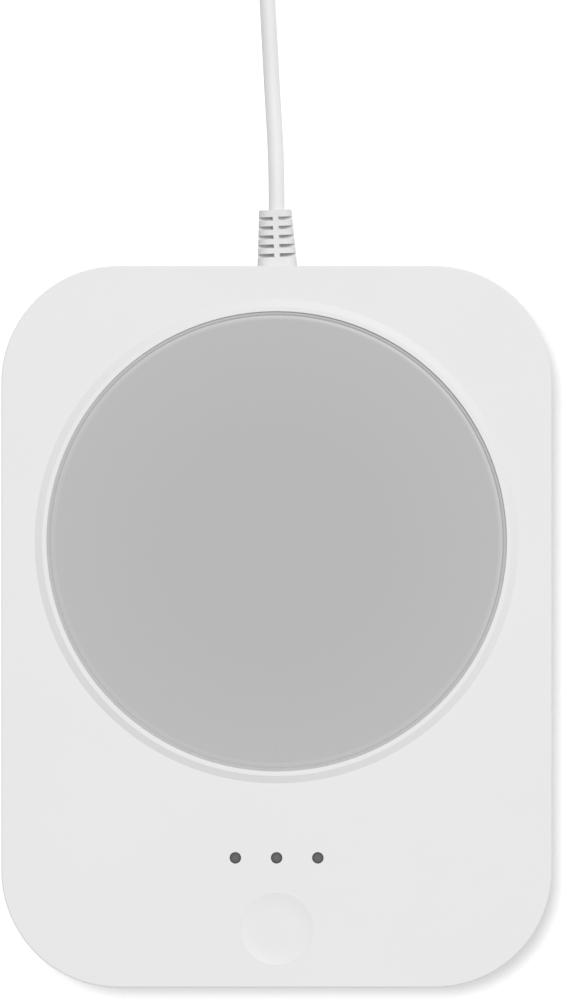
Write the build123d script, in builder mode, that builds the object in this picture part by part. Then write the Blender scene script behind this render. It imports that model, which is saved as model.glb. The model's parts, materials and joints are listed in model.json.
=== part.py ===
from build123d import *
import os
from math import atan2, cos, degrees, hypot, pi, radians, sin, tan

# An electric mug warmer on a low-voltage cord: a flat two-part housing with a round heating
# plate, three status windows and one press key. Millimetres, +Z up, +Y towards the cord.
# The origin is on the table, under the middle of the housing.

os.makedirs("parts", exist_ok=True)

# ---------------------------------------------------------------- driving dimensions
# Housing
body_width = 110.5
body_length = 144.7
corner_radius = 23.6
foot_stand = 1.5
base_height = 5.0
top_height = 11.5
wall = 2.2
deck_thickness = 2.2
floor_thickness = 2.0
draft_angle = 1.0
deck_edge_radius = 0.25
base_edge_radius = 1.8
reveal_depth = 0.4
reveal_height = 0.5
tongue_height = 1.4
tongue_thickness = 1.0
tongue_root = 1.6
rib_thickness = 1.2
deck_rib_height = 1.6
floor_rib_height = 0.9
floor_frame_width = 60.0
floor_frame_length = 32.0

# Heating plate, in its well; the setback is from the housing's rear edge
plate_setback = 55.3
plate_radius = 45.2
plate_thickness = 1.6
plate_bevel_width = 0.5
plate_bevel_drop = 0.12
plate_gap = 0.8
plate_sink = 0.45
lip_height = 0.6
lip_width = 2.4
lip_land = 0.92
lip_edge_radius = 0.15
ledge_width = 4.1
ledge_thickness = 2.2
well_wall = 2.2
seal_thickness = 0.6
seal_depth = 0.03
seal_edge_radius = 0.1
seal_foot_width = 2.6
heater_edge_gap = 2.0
heater_thickness = 0.6
insulation_edge_gap = 1.0
insulation_thickness = 1.7

# Steel retainer that clamps the plate to the ledge
retainer_thickness = 0.8
retainer_overlap = 4.3
retainer_step_width = 1.2
retainer_window_radius = 20.0
retainer_window_width = 8.0
retainer_window_angle = 62.0
retainer_eye_radius = 4.5
plate_screw_circle = 30.0
plate_screw_count = 3
plate_screw_start = 90.0
plate_boss_radius = 2.8
plate_screw_radius = 1.2
plate_screw_length = 3.4
plate_screw_head_radius = 2.3
plate_screw_head_height = 1.5

# Sensor and fuse under the plate
sensor_radius = 1.2
sensor_length = 3.6
fuse_radius = 1.8
fuse_length = 9.5
fuse_offset = 7.0
fuse_cap_length = 0.8
fuse_clip_thickness = 0.5
fuse_clip_width = 6.0

# Press key; the setback is from the housing's front edge
key_setback = 11.8
key_hole_radius = 7.25
key_clearance = 0.05
key_sink = 0.02
key_travel = 0.5
key_wall = 1.2
key_dish_depth = 0.14
key_dish_floor_radius = 4.0
key_rim = 0.1
skirt_depth = 2.0
skirt_wall = 1.0
key_flange_width = 1.0
key_flange_thickness = 1.0
key_stop_clearance = 0.05
key_ear_width = 3.0
key_ear_length = 1.8
key_ear_clearance = 0.15
guide_rib_thickness = 1.0
guide_rib_reach = 0.45
key_stem_radius = 1.6
key_rib_thickness = 0.8

# Status windows, at a share of the free depth between the key's skirt and the well
window_share = 0.228
window_pitch = 8.25
window_count = 3
window_radius = 1.1
window_clearance = 0.05
window_sink = 0.05
pipe_bar_width = 4.6
pipe_bar_thickness = 1.3
pipe_bar_end = 6.4
stake_radius = 0.9
stake_head_radius = 1.5
stake_head_height = 0.6
stake_inset = 2.2

# Control board and what is on it; the setback is from the housing's front edge
board_width = 62.0
board_length = 32.0
board_thickness = 1.6
board_setback = 5.8
board_drop = 8.4
board_screw_inset = 4.0
board_boss_radius = 2.7
board_screw_radius = 0.95
board_screw_length = 6.5
board_screw_head_radius = 1.9
board_screw_head_height = 1.3
switch_side = 6.0
switch_base_height = 3.2
switch_frame_thickness = 0.3
switch_bore_radius = 2.5
switch_floor = 0.7
plunger_radius = 1.7
plunger_stand = 0.9
plunger_flange_radius = 2.3
plunger_flange_thickness = 0.5
dome_thickness = 0.12
led_side = 3.0
led_base_height = 1.1
led_lens_radius = 1.2
led_lens_height = 0.8
led_gap = 0.4
header_x = 0.0
header_pitch = 2.5
header_ways = 6
header_height = 5.5
header_depth = 6.0
header_wall = 0.9
header_overhang = 0.4
chip_height = 1.5
chip_draft = 4.0
chip_pitch = 32.0
chip_offset = 2.5
processor_side = 6.2
transistor_side = 6.0
passive_length = 2.0
passive_width = 1.25
passive_column_pitch = 45.0
passive_row_pitch = 5.0
passive_offset = 4.5
capacitor_radius = 2.5
capacitor_height = 5.4
capacitor_x = 20.5
capacitor_offset = 5.0

# Case screws and feet
case_screw_inset = 12.0
case_boss_radius = 3.6
case_screw_radius = 1.45
case_screw_length = 9.0
case_screw_head_radius = 2.7
case_screw_head_height = 2.0
case_screw_seat = 3.5
case_boss_rise = 2.0
case_recess_length = 3.0
case_recess_width = 0.6
case_gusset_drop = 0.5
foot_inset_x = 18.75
foot_inset_y = 21.8
foot_radius = 5.0
foot_recess = 1.0
foot_edge_radius = 0.5
vent_rows = 5
vent_columns = 2
vent_pitch_x = 30.0
vent_pitch_y = 6.0
vent_length = 22.0
vent_width = 1.8

# Cord, strain relief and clamp
cord_diameter = 3.2
cord_x = 0.0
relief_x = 0.15
relief_tilt = 2.3
relief_length = 11.1
relief_base_width = 7.95
relief_base_height = 6.4
relief_tip_width = 6.5
relief_tip_height = 5.6
relief_corner = 0.36
relief_neck_radius = 2.5
relief_flange_width = 9.2
relief_flange_height = 5.6
relief_flange_thickness = 1.6
relief_slot_count = 5
relief_slot_pitch = 1.84
relief_slot_width = 0.75
relief_slot_first = 1.6
relief_spine = 1.1
relief_slot_floor = 1.2
lead_length = 16.0
clamp_setback = 11.0
clamp_post_spacing = 12.0
clamp_post_radius = 2.6
clamp_bar_thickness = 2.4
clamp_bar_width = 6.0
clamp_screw_radius = 0.95
clamp_screw_length = 5.4
clamp_screw_head_radius = 1.9
clamp_screw_head_height = 1.3

# Wires inside the housing
wire_diameter = 1.3
wire_floor_gap = 1.05
wire_run_in = 6.5
header_run_in = 11.0
supply_lane_x = 12.3
supply_lane_pitch = 3.4
film_lead_pitch = 2.8
film_lead_lane = 7.5
fuse_lead_length = 4.4
sensor_lead_pitch = 2.4
sensor_lane_pitch = 4.0
sensor_lead_reach = 8.0

# Put-away coil, its tie and the plug
coil_columns = 4
coil_rows = 2
coil_pitch = 3.3
coil_mean_radius = 19.0
coil_y = 162.0
coil_lead_x = -2.6
coil_stub = 14.0
tie_thickness = 0.5
tie_width = 4.0
tie_angle = 135.0
plug_body_width = 15.4
plug_body_height = 8.0
plug_body_length = 22.0
plug_relief_length = 7.0
plug_relief_radius = 2.4
plug_corner_radius = 2.2
plug_shell_width = 12.0
plug_shell_height = 4.5
plug_shell_length = 12.2
plug_shell_wall = 0.3
plug_shell_inset = 3.0
plug_window_side = 2.0
plug_window_spacing = 5.4
plug_groove_count = 4
plug_groove_pitch = 2.4
plug_groove_width = 1.0
plug_groove_depth = 0.4
plug_groove_first = 5.0
plug_tongue_thickness = 1.9
plug_contact_count = 4
plug_contact_pitch = 2.25
plug_contact_width = 1.1
plug_contact_thickness = 0.15

# Named clearances
fit_gap = 0.05
seat_gap = 0.1
groove_gap = 0.15
thread_gap = 0.03

# ---------------------------------------------------------------- levels and places
front_y = -body_length / 2
rear_y = body_length / 2
plate_y = rear_y - plate_setback
base_z = foot_stand
parting_z = base_z + base_height
deck_z = parting_z + top_height
ceiling_z = deck_z - deck_thickness
floor_z = base_z + floor_thickness

lip_radius = plate_radius + plate_gap
lip_top_z = deck_z + lip_height
lip_foot_radius = lip_radius + lip_width
well_radius = lip_radius + well_wall
ledge_radius = lip_radius - ledge_width
plate_top_z = lip_top_z - plate_sink
plate_bottom_z = plate_top_z - plate_thickness
ledge_z = plate_bottom_z - seal_thickness
ledge_bottom_z = ledge_z - ledge_thickness
heater_z = plate_bottom_z - heater_thickness
insulation_z = heater_z - insulation_thickness
heater_radius = ledge_radius - heater_edge_gap
insulation_radius = ledge_radius - insulation_edge_gap
plate_axis = Axis((0, plate_y, 0), (0, 0, 1))
plate_section = Plane(origin=(0, plate_y, 0), x_dir=(1, 0, 0), z_dir=(0, -1, 0))
plate_screw_angles = [
    plate_screw_start + 360 / plate_screw_count * k for k in range(plate_screw_count)
]
plate_screw_spots = [
    (plate_screw_circle * cos(radians(a)), plate_y + plate_screw_circle * sin(radians(a)))
    for a in plate_screw_angles
]
retainer_radius = ledge_radius + retainer_overlap
retainer_dish_radius = ledge_radius - 2 * retainer_step_width
clip_spot = plate_screw_spots[-1]

board_y = front_y + board_setback + board_length / 2
board_top_z = ceiling_z - board_drop
board_bottom_z = board_top_z - board_thickness
board_rear_y = board_y + board_length / 2
board_screw_spacing_x = board_width - 2 * board_screw_inset
board_screw_spacing_y = board_length - 2 * board_screw_inset
switch_top_z = board_top_z + switch_base_height + switch_frame_thickness
plunger_top_z = switch_top_z + plunger_stand

key_y = front_y + key_setback
key_radius = key_hole_radius - key_clearance
key_top_z = deck_z - key_sink
key_flange_top_z = ceiling_z - skirt_depth - key_stop_clearance
key_flange_bottom_z = key_flange_top_z - key_flange_thickness
key_flange_radius = key_hole_radius + key_flange_width
guide_rib_drop = (
    skirt_depth + key_stop_clearance + key_flange_thickness + key_travel + guide_rib_reach
)
key_section = Plane(origin=(0, key_y, 0), x_dir=(1, 0, 0), z_dir=(0, -1, 0))
key_axis = Axis((0, key_y, 0), (0, 0, 1))
key_dish_radius = key_radius - key_rim
key_dish_slope = key_dish_radius - key_dish_floor_radius
dish_arc_radius = (key_dish_slope**2 + key_dish_depth**2) / (2 * key_dish_depth)

skirt_radius = key_hole_radius + skirt_wall
window_room = plate_y - well_radius - key_y - skirt_radius - pipe_bar_width
window_y = key_y + skirt_radius + pipe_bar_width / 2 + window_share * window_room
window_spots = [
    ((k - (window_count - 1) / 2) * window_pitch, window_y) for k in range(window_count)
]
pipe_bar_length = (window_count - 1) * window_pitch + 2 * pipe_bar_end
stake_x = pipe_bar_length / 2 - stake_inset
led_top_z = board_top_z + led_base_height + led_lens_height

case_seat_z = base_z + case_screw_seat
case_boss_top_z = parting_z + case_boss_rise
case_screw_x = body_width / 2 - case_screw_inset
case_screw_y = body_length / 2 - case_screw_inset
case_spots = [(sx * case_screw_x, sy * case_screw_y) for sx in (-1, 1) for sy in (-1, 1)]
# From a case boss out to the middle of the wall at the housing's corner
corner_to_boss = corner_radius - case_screw_inset
case_gusset_length = corner_radius - wall / 2 - hypot(corner_to_boss, corner_to_boss)
foot_x = body_width / 2 - foot_inset_x
foot_y = body_length / 2 - foot_inset_y
foot_spots = [(sx * foot_x, sy * foot_y) for sx in (-1, 1) for sy in (-1, 1)]

cord_radius = cord_diameter / 2
cord_z = parting_z
relief_direction = Vector(-sin(radians(relief_tilt)), cos(radians(relief_tilt)), 0)
relief_sway = relief_base_width / 2 * tan(radians(relief_tilt))
relief_origin = Vector(relief_x, rear_y + relief_sway, cord_z)
relief_tip = relief_origin + relief_direction * relief_length
relief_plane = Plane(
    origin=relief_origin,
    x_dir=(-relief_direction.Y, relief_direction.X, 0),
    z_dir=relief_direction,
)
cord_exit = Vector(cord_x, relief_tip.Y, cord_z)
clamp_y = rear_y - clamp_setback
clamp_bar_z = cord_z + fit_gap
clamp_bar_length = clamp_post_spacing + 2 * clamp_post_radius
clamp_spots = [(cord_x + s * clamp_post_spacing / 2, clamp_y) for s in (-1, 1)]

cord_rest_z = cord_radius + fit_gap
coil_outer_turn = coil_mean_radius + (coil_columns - 1) / 2 * coil_pitch
coil_x = coil_lead_x - coil_outer_turn
coil_first_z = tie_thickness + cord_rest_z
coil_last_z = coil_first_z + (coil_rows - 1) * coil_pitch
coil_entry = Vector(coil_lead_x, coil_y - coil_stub, coil_first_z)
coil_exit = Vector(coil_x + coil_stub, coil_y - coil_outer_turn, coil_last_z)
coil_axis = Axis((coil_x, coil_y, 0), (0, 0, 1))
plug_z = plug_body_height / 2

# The cord's free run, from the strain relief down to the table and on to the coil.
cord_route = [
    cord_exit,
    Vector(cord_x, 90.4, cord_z),
    Vector(-0.3, 98.2, 4.4),
    Vector(-0.85, 107.0, 2.2),
    Vector(-1.4, 117.4, cord_rest_z),
    Vector(-1.85, 125.8, cord_rest_z),
    Vector(-2.25, 133.2, cord_rest_z),
    Vector(-2.5, 139.4, cord_rest_z),
    Vector(coil_lead_x, 143.8, coil_first_z),
    coil_entry,
]

# The cord's end, over its own first run and down to the plug on the table.
tail_route = [
    coil_exit,
    Vector(-6.0, coil_exit.Y, coil_last_z),
    Vector(0.4, 138.9, 5.1),
    Vector(6.6, 140.4, plug_z),
    Vector(12.2, 142.0, plug_z),
]


def bend_radii(route):
    """The radius at each corner, as large as its two straight runs allow."""
    radii = []
    for before, corner, after in zip(route, route[1:], route[2:]):
        turn = radians((corner - before).get_angle(after - corner))
        shorter = min((corner - before).length, (after - corner).length)
        radii.append(0.45 * shorter / tan(turn / 2))
    return radii


def swept_length(route):
    """The length of the path that those radii leave."""
    total = sum((b - a).length for a, b in zip(route, route[1:]))
    for radius, before, corner, after in zip(bend_radii(route), route, route[1:], route[2:]):
        turn = radians((corner - before).get_angle(after - corner))
        total -= radius * (2 * tan(turn / 2) - turn)
    return total


# ---------------------------------------------------------------- top cover
# Upper shell: tapered walls, a raised lip round the well, a ledge for the plate, and the
# bosses that carry the board and take the case screws.
with BuildPart() as top_cover:
    with BuildSketch(Plane.XY.offset(parting_z)):
        RectangleRounded(body_width, body_length, corner_radius)
    extrude(amount=top_height, taper=draft_angle)
    fillet(top_cover.faces().sort_by(Axis.Z)[-1].edges(), deck_edge_radius)
    with BuildSketch(Plane.XY.offset(parting_z)):
        RectangleRounded(body_width - 2 * wall, body_length - 2 * wall, corner_radius - wall)
    extrude(amount=top_height - deck_thickness, taper=draft_angle, mode=Mode.SUBTRACT)
    with BuildSketch(plate_section):
        with BuildLine():
            Polyline(
                (0, ledge_bottom_z),
                (well_radius, ledge_bottom_z),
                (well_radius, ceiling_z + deck_thickness / 2),
                (lip_foot_radius, deck_z),
                (lip_radius + lip_land, lip_top_z),
                (0, lip_top_z),
                close=True,
            )
        make_face()
    revolve(axis=plate_axis)
    with BuildSketch(plate_section):
        with BuildLine():
            Polyline(
                (0, ledge_bottom_z - seat_gap),
                (ledge_radius, ledge_bottom_z - seat_gap),
                (ledge_radius, ledge_z),
                (lip_radius, ledge_z),
                (lip_radius, lip_top_z + seat_gap),
                (0, lip_top_z + seat_gap),
                close=True,
            )
        make_face()
    revolve(axis=plate_axis, mode=Mode.SUBTRACT)
    lip_crest = top_cover.edges().filter_by(GeomType.CIRCLE).group_by(Axis.Z)[-1]
    fillet(lip_crest.sort_by(SortBy.RADIUS)[0], lip_edge_radius)
    # Key skirt, and the ribs that keep the key from turning
    with BuildSketch(Plane.XY.offset(ceiling_z)):
        with Locations((0, key_y)):
            Circle(skirt_radius)
    extrude(amount=-skirt_depth)
    with BuildSketch(Plane.XY.offset(ceiling_z)):
        with Locations((0, key_y)):
            with GridLocations(
                2 * key_flange_radius + key_ear_length + key_ear_clearance,
                key_ear_width + 2 * key_ear_clearance + guide_rib_thickness,
                2,
                2,
            ):
                Rectangle(key_ear_length, guide_rib_thickness)
    extrude(amount=-guide_rib_drop)
    with BuildSketch(Plane.XY.offset(deck_z)):
        with Locations((0, key_y)):
            Circle(key_hole_radius)
        with Locations(*window_spots):
            Circle(window_radius + window_clearance)
    extrude(amount=-(deck_thickness + skirt_depth + seat_gap), mode=Mode.SUBTRACT)
    # Pegs that hold the light pipe, with their formed heads
    with BuildSketch(Plane.XY.offset(ceiling_z)):
        with Locations((-stake_x, window_y), (stake_x, window_y)):
            Circle(stake_radius)
    extrude(amount=-pipe_bar_thickness)
    with BuildSketch(Plane.XY.offset(ceiling_z - pipe_bar_thickness)):
        with Locations((-stake_x, window_y), (stake_x, window_y)):
            Circle(stake_head_radius)
    extrude(amount=-stake_head_height)
    # Board bosses, case bosses with a gusset to the corner, and a rib from each to the well
    with BuildSketch(Plane.XY.offset(board_top_z)):
        with Locations((0, board_y)):
            with GridLocations(board_screw_spacing_x, board_screw_spacing_y, 2, 2):
                Circle(board_boss_radius)
    extrude(amount=board_drop)
    with BuildSketch(Plane.XY.offset(case_boss_top_z)):
        for x, y in case_spots:
            with Locations((x, y)):
                Circle(case_boss_radius)
            with Locations(Location((x, y, 0), (0, 0, degrees(atan2(y / abs(y), x / abs(x)))))):
                Rectangle(case_gusset_length, rib_thickness, align=(Align.MIN, Align.CENTER))
    extrude(amount=ceiling_z - case_boss_top_z)
    with BuildSketch(Plane.XY.offset(ceiling_z)):
        for x, y in case_spots:
            rib_end = hypot(x, y - plate_y)
            rib_start = lip_radius + well_wall / 2
            with Locations(Location((0, plate_y, 0), (0, 0, degrees(atan2(y - plate_y, x))))):
                with Locations(((rib_start + rib_end) / 2, 0)):
                    Rectangle(rib_end - rib_start, rib_thickness)
    extrude(amount=-deck_rib_height)
    # Pilot holes for the screws
    with BuildSketch(Plane.XY.offset(board_top_z)):
        with Locations((0, board_y)):
            with GridLocations(board_screw_spacing_x, board_screw_spacing_y, 2, 2):
                Circle(board_screw_radius + thread_gap)
    extrude(amount=board_drop, mode=Mode.SUBTRACT)
    with BuildSketch(Plane.XY.offset(case_boss_top_z)):
        with Locations(*case_spots):
            Circle(case_screw_radius + thread_gap)
    extrude(amount=ceiling_z - case_boss_top_z, mode=Mode.SUBTRACT)
    # Half of the hole that the strain relief's neck sits in
    with BuildSketch(Plane.XZ.offset(-rear_y - seat_gap)):
        with Locations((relief_x, cord_z)):
            Circle(relief_neck_radius + groove_gap)
    extrude(amount=wall + 4 * seat_gap, mode=Mode.SUBTRACT)
top_cover.part.label = "top_cover"
export_step(top_cover.part, "parts/top_cover.step")

# ---------------------------------------------------------------- base cover
# Lower tray: a tongue that enters the top cover, screw bosses with counterbores, recesses
# for the feet, vent slots, posts for the cord clamp.
with BuildPart() as base_cover:
    with BuildSketch(Plane.XY.offset(parting_z)):
        RectangleRounded(body_width, body_length, corner_radius)
    extrude(amount=-base_height, taper=draft_angle)
    fillet(base_cover.faces().sort_by(Axis.Z)[0].edges(), base_edge_radius)
    with BuildSketch(Plane.XY.offset(parting_z)):
        RectangleRounded(
            body_width + 2 * reveal_depth,
            body_length + 2 * reveal_depth,
            corner_radius + reveal_depth,
        )
        RectangleRounded(
            body_width - 2 * reveal_depth,
            body_length - 2 * reveal_depth,
            corner_radius - reveal_depth,
            mode=Mode.SUBTRACT,
        )
    extrude(amount=-reveal_height, mode=Mode.SUBTRACT)
    with BuildSketch(Plane.XY.offset(parting_z)):
        RectangleRounded(body_width - 2 * wall, body_length - 2 * wall, corner_radius - wall)
    extrude(amount=-(base_height - floor_thickness), taper=draft_angle, mode=Mode.SUBTRACT)
    # Tongue, on a thicker root below the parting plane
    tongue_outer = wall + groove_gap
    tongue_inner = tongue_outer + tongue_thickness
    with BuildSketch(Plane.XY.offset(parting_z - tongue_root)):
        RectangleRounded(body_width - wall, body_length - wall, corner_radius - wall / 2)
        RectangleRounded(
            body_width - 2 * tongue_inner,
            body_length - 2 * tongue_inner,
            corner_radius - tongue_inner,
            mode=Mode.SUBTRACT,
        )
    extrude(amount=tongue_root)
    with BuildSketch(Plane.XY.offset(parting_z)):
        RectangleRounded(
            body_width - 2 * tongue_outer,
            body_length - 2 * tongue_outer,
            corner_radius - tongue_outer,
        )
        RectangleRounded(
            body_width - 2 * tongue_inner,
            body_length - 2 * tongue_inner,
            corner_radius - tongue_inner,
            mode=Mode.SUBTRACT,
        )
    extrude(amount=tongue_height)
    with BuildSketch(Plane.XY.offset(base_z + floor_thickness / 2)):
        with Locations(*case_spots):
            Circle(case_boss_radius + floor_thickness / 4)
    extrude(amount=case_boss_top_z - base_z - floor_thickness / 2)
    # Gussets at the case bosses, and low ribs that frame the vents
    with BuildSketch(Plane.XY.offset(floor_z - fit_gap)):
        for x, y in case_spots:
            with Locations(Location((x, y, 0), (0, 0, degrees(atan2(y / abs(y), x / abs(x)))))):
                Rectangle(case_gusset_length, rib_thickness, align=(Align.MIN, Align.CENTER))
    extrude(amount=parting_z - case_gusset_drop - floor_z + fit_gap)
    with BuildSketch(Plane.XY.offset(floor_z - fit_gap)):
        with Locations((0, plate_y)):
            with GridLocations(floor_frame_width / 2, 1, 3, 1):
                Rectangle(rib_thickness, floor_frame_width)
            with GridLocations(1, floor_frame_length, 1, 2):
                Rectangle(floor_frame_width, rib_thickness)
    extrude(amount=floor_rib_height + fit_gap)
    with BuildSketch(Plane.XY.offset(floor_z - fit_gap)):
        with Locations(*clamp_spots):
            Circle(clamp_post_radius)
        with Locations((cord_x, clamp_y)):
            Rectangle(clamp_post_spacing, clamp_bar_width / 2)
    extrude(amount=clamp_bar_z - floor_z + fit_gap)
    # Screw holes and counterbores, foot recesses, vents
    with BuildSketch(Plane.XY.offset(base_z)):
        with Locations(*case_spots):
            Circle(case_screw_radius + seat_gap)
        with Locations((0, plate_y)):
            with GridLocations(vent_pitch_x, vent_pitch_y, vent_columns, vent_rows):
                SlotOverall(vent_length, vent_width)
    extrude(amount=case_boss_top_z, mode=Mode.SUBTRACT)
    with BuildSketch(Plane.XY.offset(base_z)):
        with Locations(*case_spots):
            Circle(case_screw_head_radius + groove_gap)
    extrude(amount=case_screw_seat, mode=Mode.SUBTRACT)
    with BuildSketch(Plane.XY.offset(base_z)):
        with Locations(*foot_spots):
            Circle(foot_radius + seat_gap)
    extrude(amount=foot_recess, mode=Mode.SUBTRACT)
    with BuildSketch(Plane.XY.offset(clamp_bar_z)):
        with Locations(*clamp_spots):
            Circle(clamp_screw_radius + thread_gap)
    extrude(amount=-(clamp_bar_z - floor_z), mode=Mode.SUBTRACT)
    # Saddle for the cord, the other half of the relief's hole, and room for its flange
    with BuildSketch(Plane.XZ.offset(-rear_y - seat_gap)):
        with Locations((relief_x, cord_z)):
            Circle(relief_neck_radius + groove_gap)
    extrude(amount=wall + 4 * seat_gap, mode=Mode.SUBTRACT)
    with BuildSketch(Plane.XZ.offset(-rear_y + wall)):
        with Locations((relief_x, cord_z)):
            Rectangle(relief_flange_width + 4 * groove_gap, relief_flange_height + 2 * seat_gap)
    extrude(amount=relief_flange_thickness + 4 * seat_gap, mode=Mode.SUBTRACT)
    with BuildSketch(Plane.XZ.offset(-rear_y)):
        with Locations((cord_x, cord_z)):
            Circle(cord_radius + fit_gap)
    extrude(amount=lead_length, mode=Mode.SUBTRACT)
base_cover.part.label = "base_cover"
export_step(base_cover.part, "parts/base_cover.step")

# ---------------------------------------------------------------- heating plate and its stack
with BuildPart() as heating_plate:
    with BuildSketch(plate_section):
        with BuildLine():
            Polyline(
                (0, plate_bottom_z),
                (plate_radius, plate_bottom_z),
                (plate_radius, plate_top_z - plate_bevel_drop),
                (plate_radius - plate_bevel_width, plate_top_z),
                (0, plate_top_z),
                close=True,
            )
        make_face()
    revolve(axis=plate_axis)
    with BuildSketch(Plane.XY.offset(plate_bottom_z)):
        with Locations(*plate_screw_spots):
            Circle(plate_boss_radius)
    extrude(amount=-(heater_thickness + insulation_thickness))
    with BuildSketch(Plane.XY.offset(insulation_z)):
        with Locations(*plate_screw_spots):
            Circle(plate_screw_radius + thread_gap)
    extrude(amount=plate_screw_length - retainer_thickness + 2 * seat_gap, mode=Mode.SUBTRACT)
heating_plate.part.label = "heating_plate"
export_step(heating_plate.part, "parts/heating_plate.step")

# Silicone ring: a foot under the plate's rim and an upstand that closes the gap round it
with BuildPart() as plate_seal:
    with BuildSketch(plate_section):
        with BuildLine():
            Polyline(
                (plate_radius - seal_foot_width, ledge_z),
                (lip_radius, ledge_z),
                (lip_radius, plate_top_z - seal_depth),
                (plate_radius, plate_top_z - seal_depth),
                (plate_radius, plate_bottom_z),
                (plate_radius - seal_foot_width, plate_bottom_z),
                close=True,
            )
        make_face()
    revolve(axis=plate_axis)
    fillet(plate_seal.faces().sort_by(Axis.Z)[-1].edges(), seal_edge_radius)
plate_seal.part.label = "plate_seal"
export_step(plate_seal.part, "parts/plate_seal.step")

sensor_slot_length = 2 * sensor_length
sensor_slot_width = 2 * sensor_radius + 4 * groove_gap
wire_slot_radius = retainer_window_width / 2 - 4 * groove_gap
wire_slot_angle = plate_screw_angles[0] - 180 / plate_screw_count
wire_slot_spot = (
    retainer_window_radius * cos(radians(wire_slot_angle)),
    plate_y + retainer_window_radius * sin(radians(wire_slot_angle)),
)

# Printed heater film, bonded under the plate
with BuildPart() as heater_film:
    with BuildSketch(Plane.XY.offset(heater_z)):
        with Locations((0, plate_y)):
            Circle(heater_radius)
        with Locations(*plate_screw_spots):
            Circle(plate_boss_radius + groove_gap, mode=Mode.SUBTRACT)
    extrude(amount=heater_thickness)
heater_film.part.label = "heater_film"
export_step(heater_film.part, "parts/heater_film.step")

with BuildPart() as insulation_disc:
    with BuildSketch(Plane.XY.offset(insulation_z)):
        with Locations((0, plate_y)):
            Circle(insulation_radius)
            Rectangle(sensor_slot_length, sensor_slot_width, mode=Mode.SUBTRACT)
        with Locations(*plate_screw_spots):
            Circle(plate_boss_radius + groove_gap, mode=Mode.SUBTRACT)
        with Locations(wire_slot_spot):
            Circle(wire_slot_radius, mode=Mode.SUBTRACT)
    extrude(amount=insulation_thickness)
insulation_disc.part.label = "insulation_disc"
export_step(insulation_disc.part, "parts/insulation_disc.step")

# Pressed steel retainer: a raised middle on the plate's bosses, a flange under the ledge,
# three curved windows and an eye for the sensor
with BuildPart() as heater_retainer:
    with BuildSketch(plate_section):
        with BuildLine():
            Polyline(
                (0, insulation_z - retainer_thickness),
                (retainer_dish_radius, insulation_z - retainer_thickness),
                (retainer_dish_radius + retainer_step_width, ledge_bottom_z - retainer_thickness),
                (retainer_radius, ledge_bottom_z - retainer_thickness),
                (retainer_radius, ledge_bottom_z),
                (retainer_dish_radius + retainer_step_width, ledge_bottom_z),
                (retainer_dish_radius, insulation_z),
                (0, insulation_z),
                close=True,
            )
        make_face()
    revolve(axis=plate_axis)
    with BuildSketch(Plane.XY.offset(insulation_z)):
        with Locations((0, plate_y)):
            Circle(retainer_eye_radius)
            with PolarLocations(
                0, plate_screw_count, plate_screw_start - 180 / plate_screw_count
            ):
                SlotArc(
                    CenterArc(
                        (0, 0),
                        retainer_window_radius,
                        -retainer_window_angle / 2,
                        retainer_window_angle,
                    ),
                    retainer_window_width,
                )
        with Locations(*plate_screw_spots):
            Circle(plate_screw_radius + seat_gap)
    extrude(amount=-retainer_thickness, mode=Mode.SUBTRACT)
heater_retainer.part.label = "heater_retainer"
export_step(heater_retainer.part, "parts/heater_retainer.step")

# Three pan-head screws; the one that also holds the fuse clip sits a clip's thickness lower
retainer_bottom_z = insulation_z - retainer_thickness
plate_screw_seats = [
    retainer_bottom_z - (fuse_clip_thickness if spot == clip_spot else 0)
    for spot in plate_screw_spots
]
with BuildPart() as retainer_screws:
    for spot, seat_z in zip(plate_screw_spots, plate_screw_seats):
        with BuildSketch(Plane.XY.offset(seat_z)):
            with Locations(spot):
                Circle(plate_screw_head_radius)
        extrude(amount=-plate_screw_head_height)
    head_faces = retainer_screws.faces().filter_by(lambda face: face.normal_at().Z < -0.9)
    fillet(head_faces.edges(), plate_screw_head_height / 3)
    for spot, seat_z in zip(plate_screw_spots, plate_screw_seats):
        with BuildSketch(Plane.XY.offset(seat_z)):
            with Locations(spot):
                Circle(plate_screw_radius)
        extrude(amount=plate_screw_length)
retainer_screws.part.label = "retainer_screws"
export_step(retainer_screws.part, "parts/retainer_screws.step")

# Bead thermistor against the film, lying in the insulation's slot
with BuildPart() as thermistor:
    with BuildSketch(Plane.YZ.offset(-sensor_length / 2)):
        with Locations((plate_y, heater_z - sensor_radius)):
            Circle(sensor_radius)
    extrude(amount=sensor_length)
    fillet(thermistor.edges().filter_by(GeomType.CIRCLE), sensor_radius / 3)
thermistor.part.label = "thermistor"
export_step(thermistor.part, "parts/thermistor.step")

# Thermal fuse on the retainer, and the clip that saddles it
fuse_x = clip_spot[0] - fuse_offset
fuse_z = retainer_bottom_z - fuse_radius - fit_gap
with BuildPart() as thermal_fuse:
    with BuildSketch(Plane.XZ.offset(-clip_spot[1] - fuse_length / 2)):
        with Locations((fuse_x, fuse_z)):
            Circle(fuse_radius)
    extrude(amount=fuse_length)
    with BuildSketch(Plane.XZ.offset(-clip_spot[1] - fuse_length / 2 - fuse_cap_length)):
        with Locations((fuse_x, fuse_z)):
            Circle(fuse_radius / 2)
    extrude(amount=fuse_length + 2 * fuse_cap_length)
thermal_fuse.part.label = "thermal_fuse"
export_step(thermal_fuse.part, "parts/thermal_fuse.step")

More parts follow.
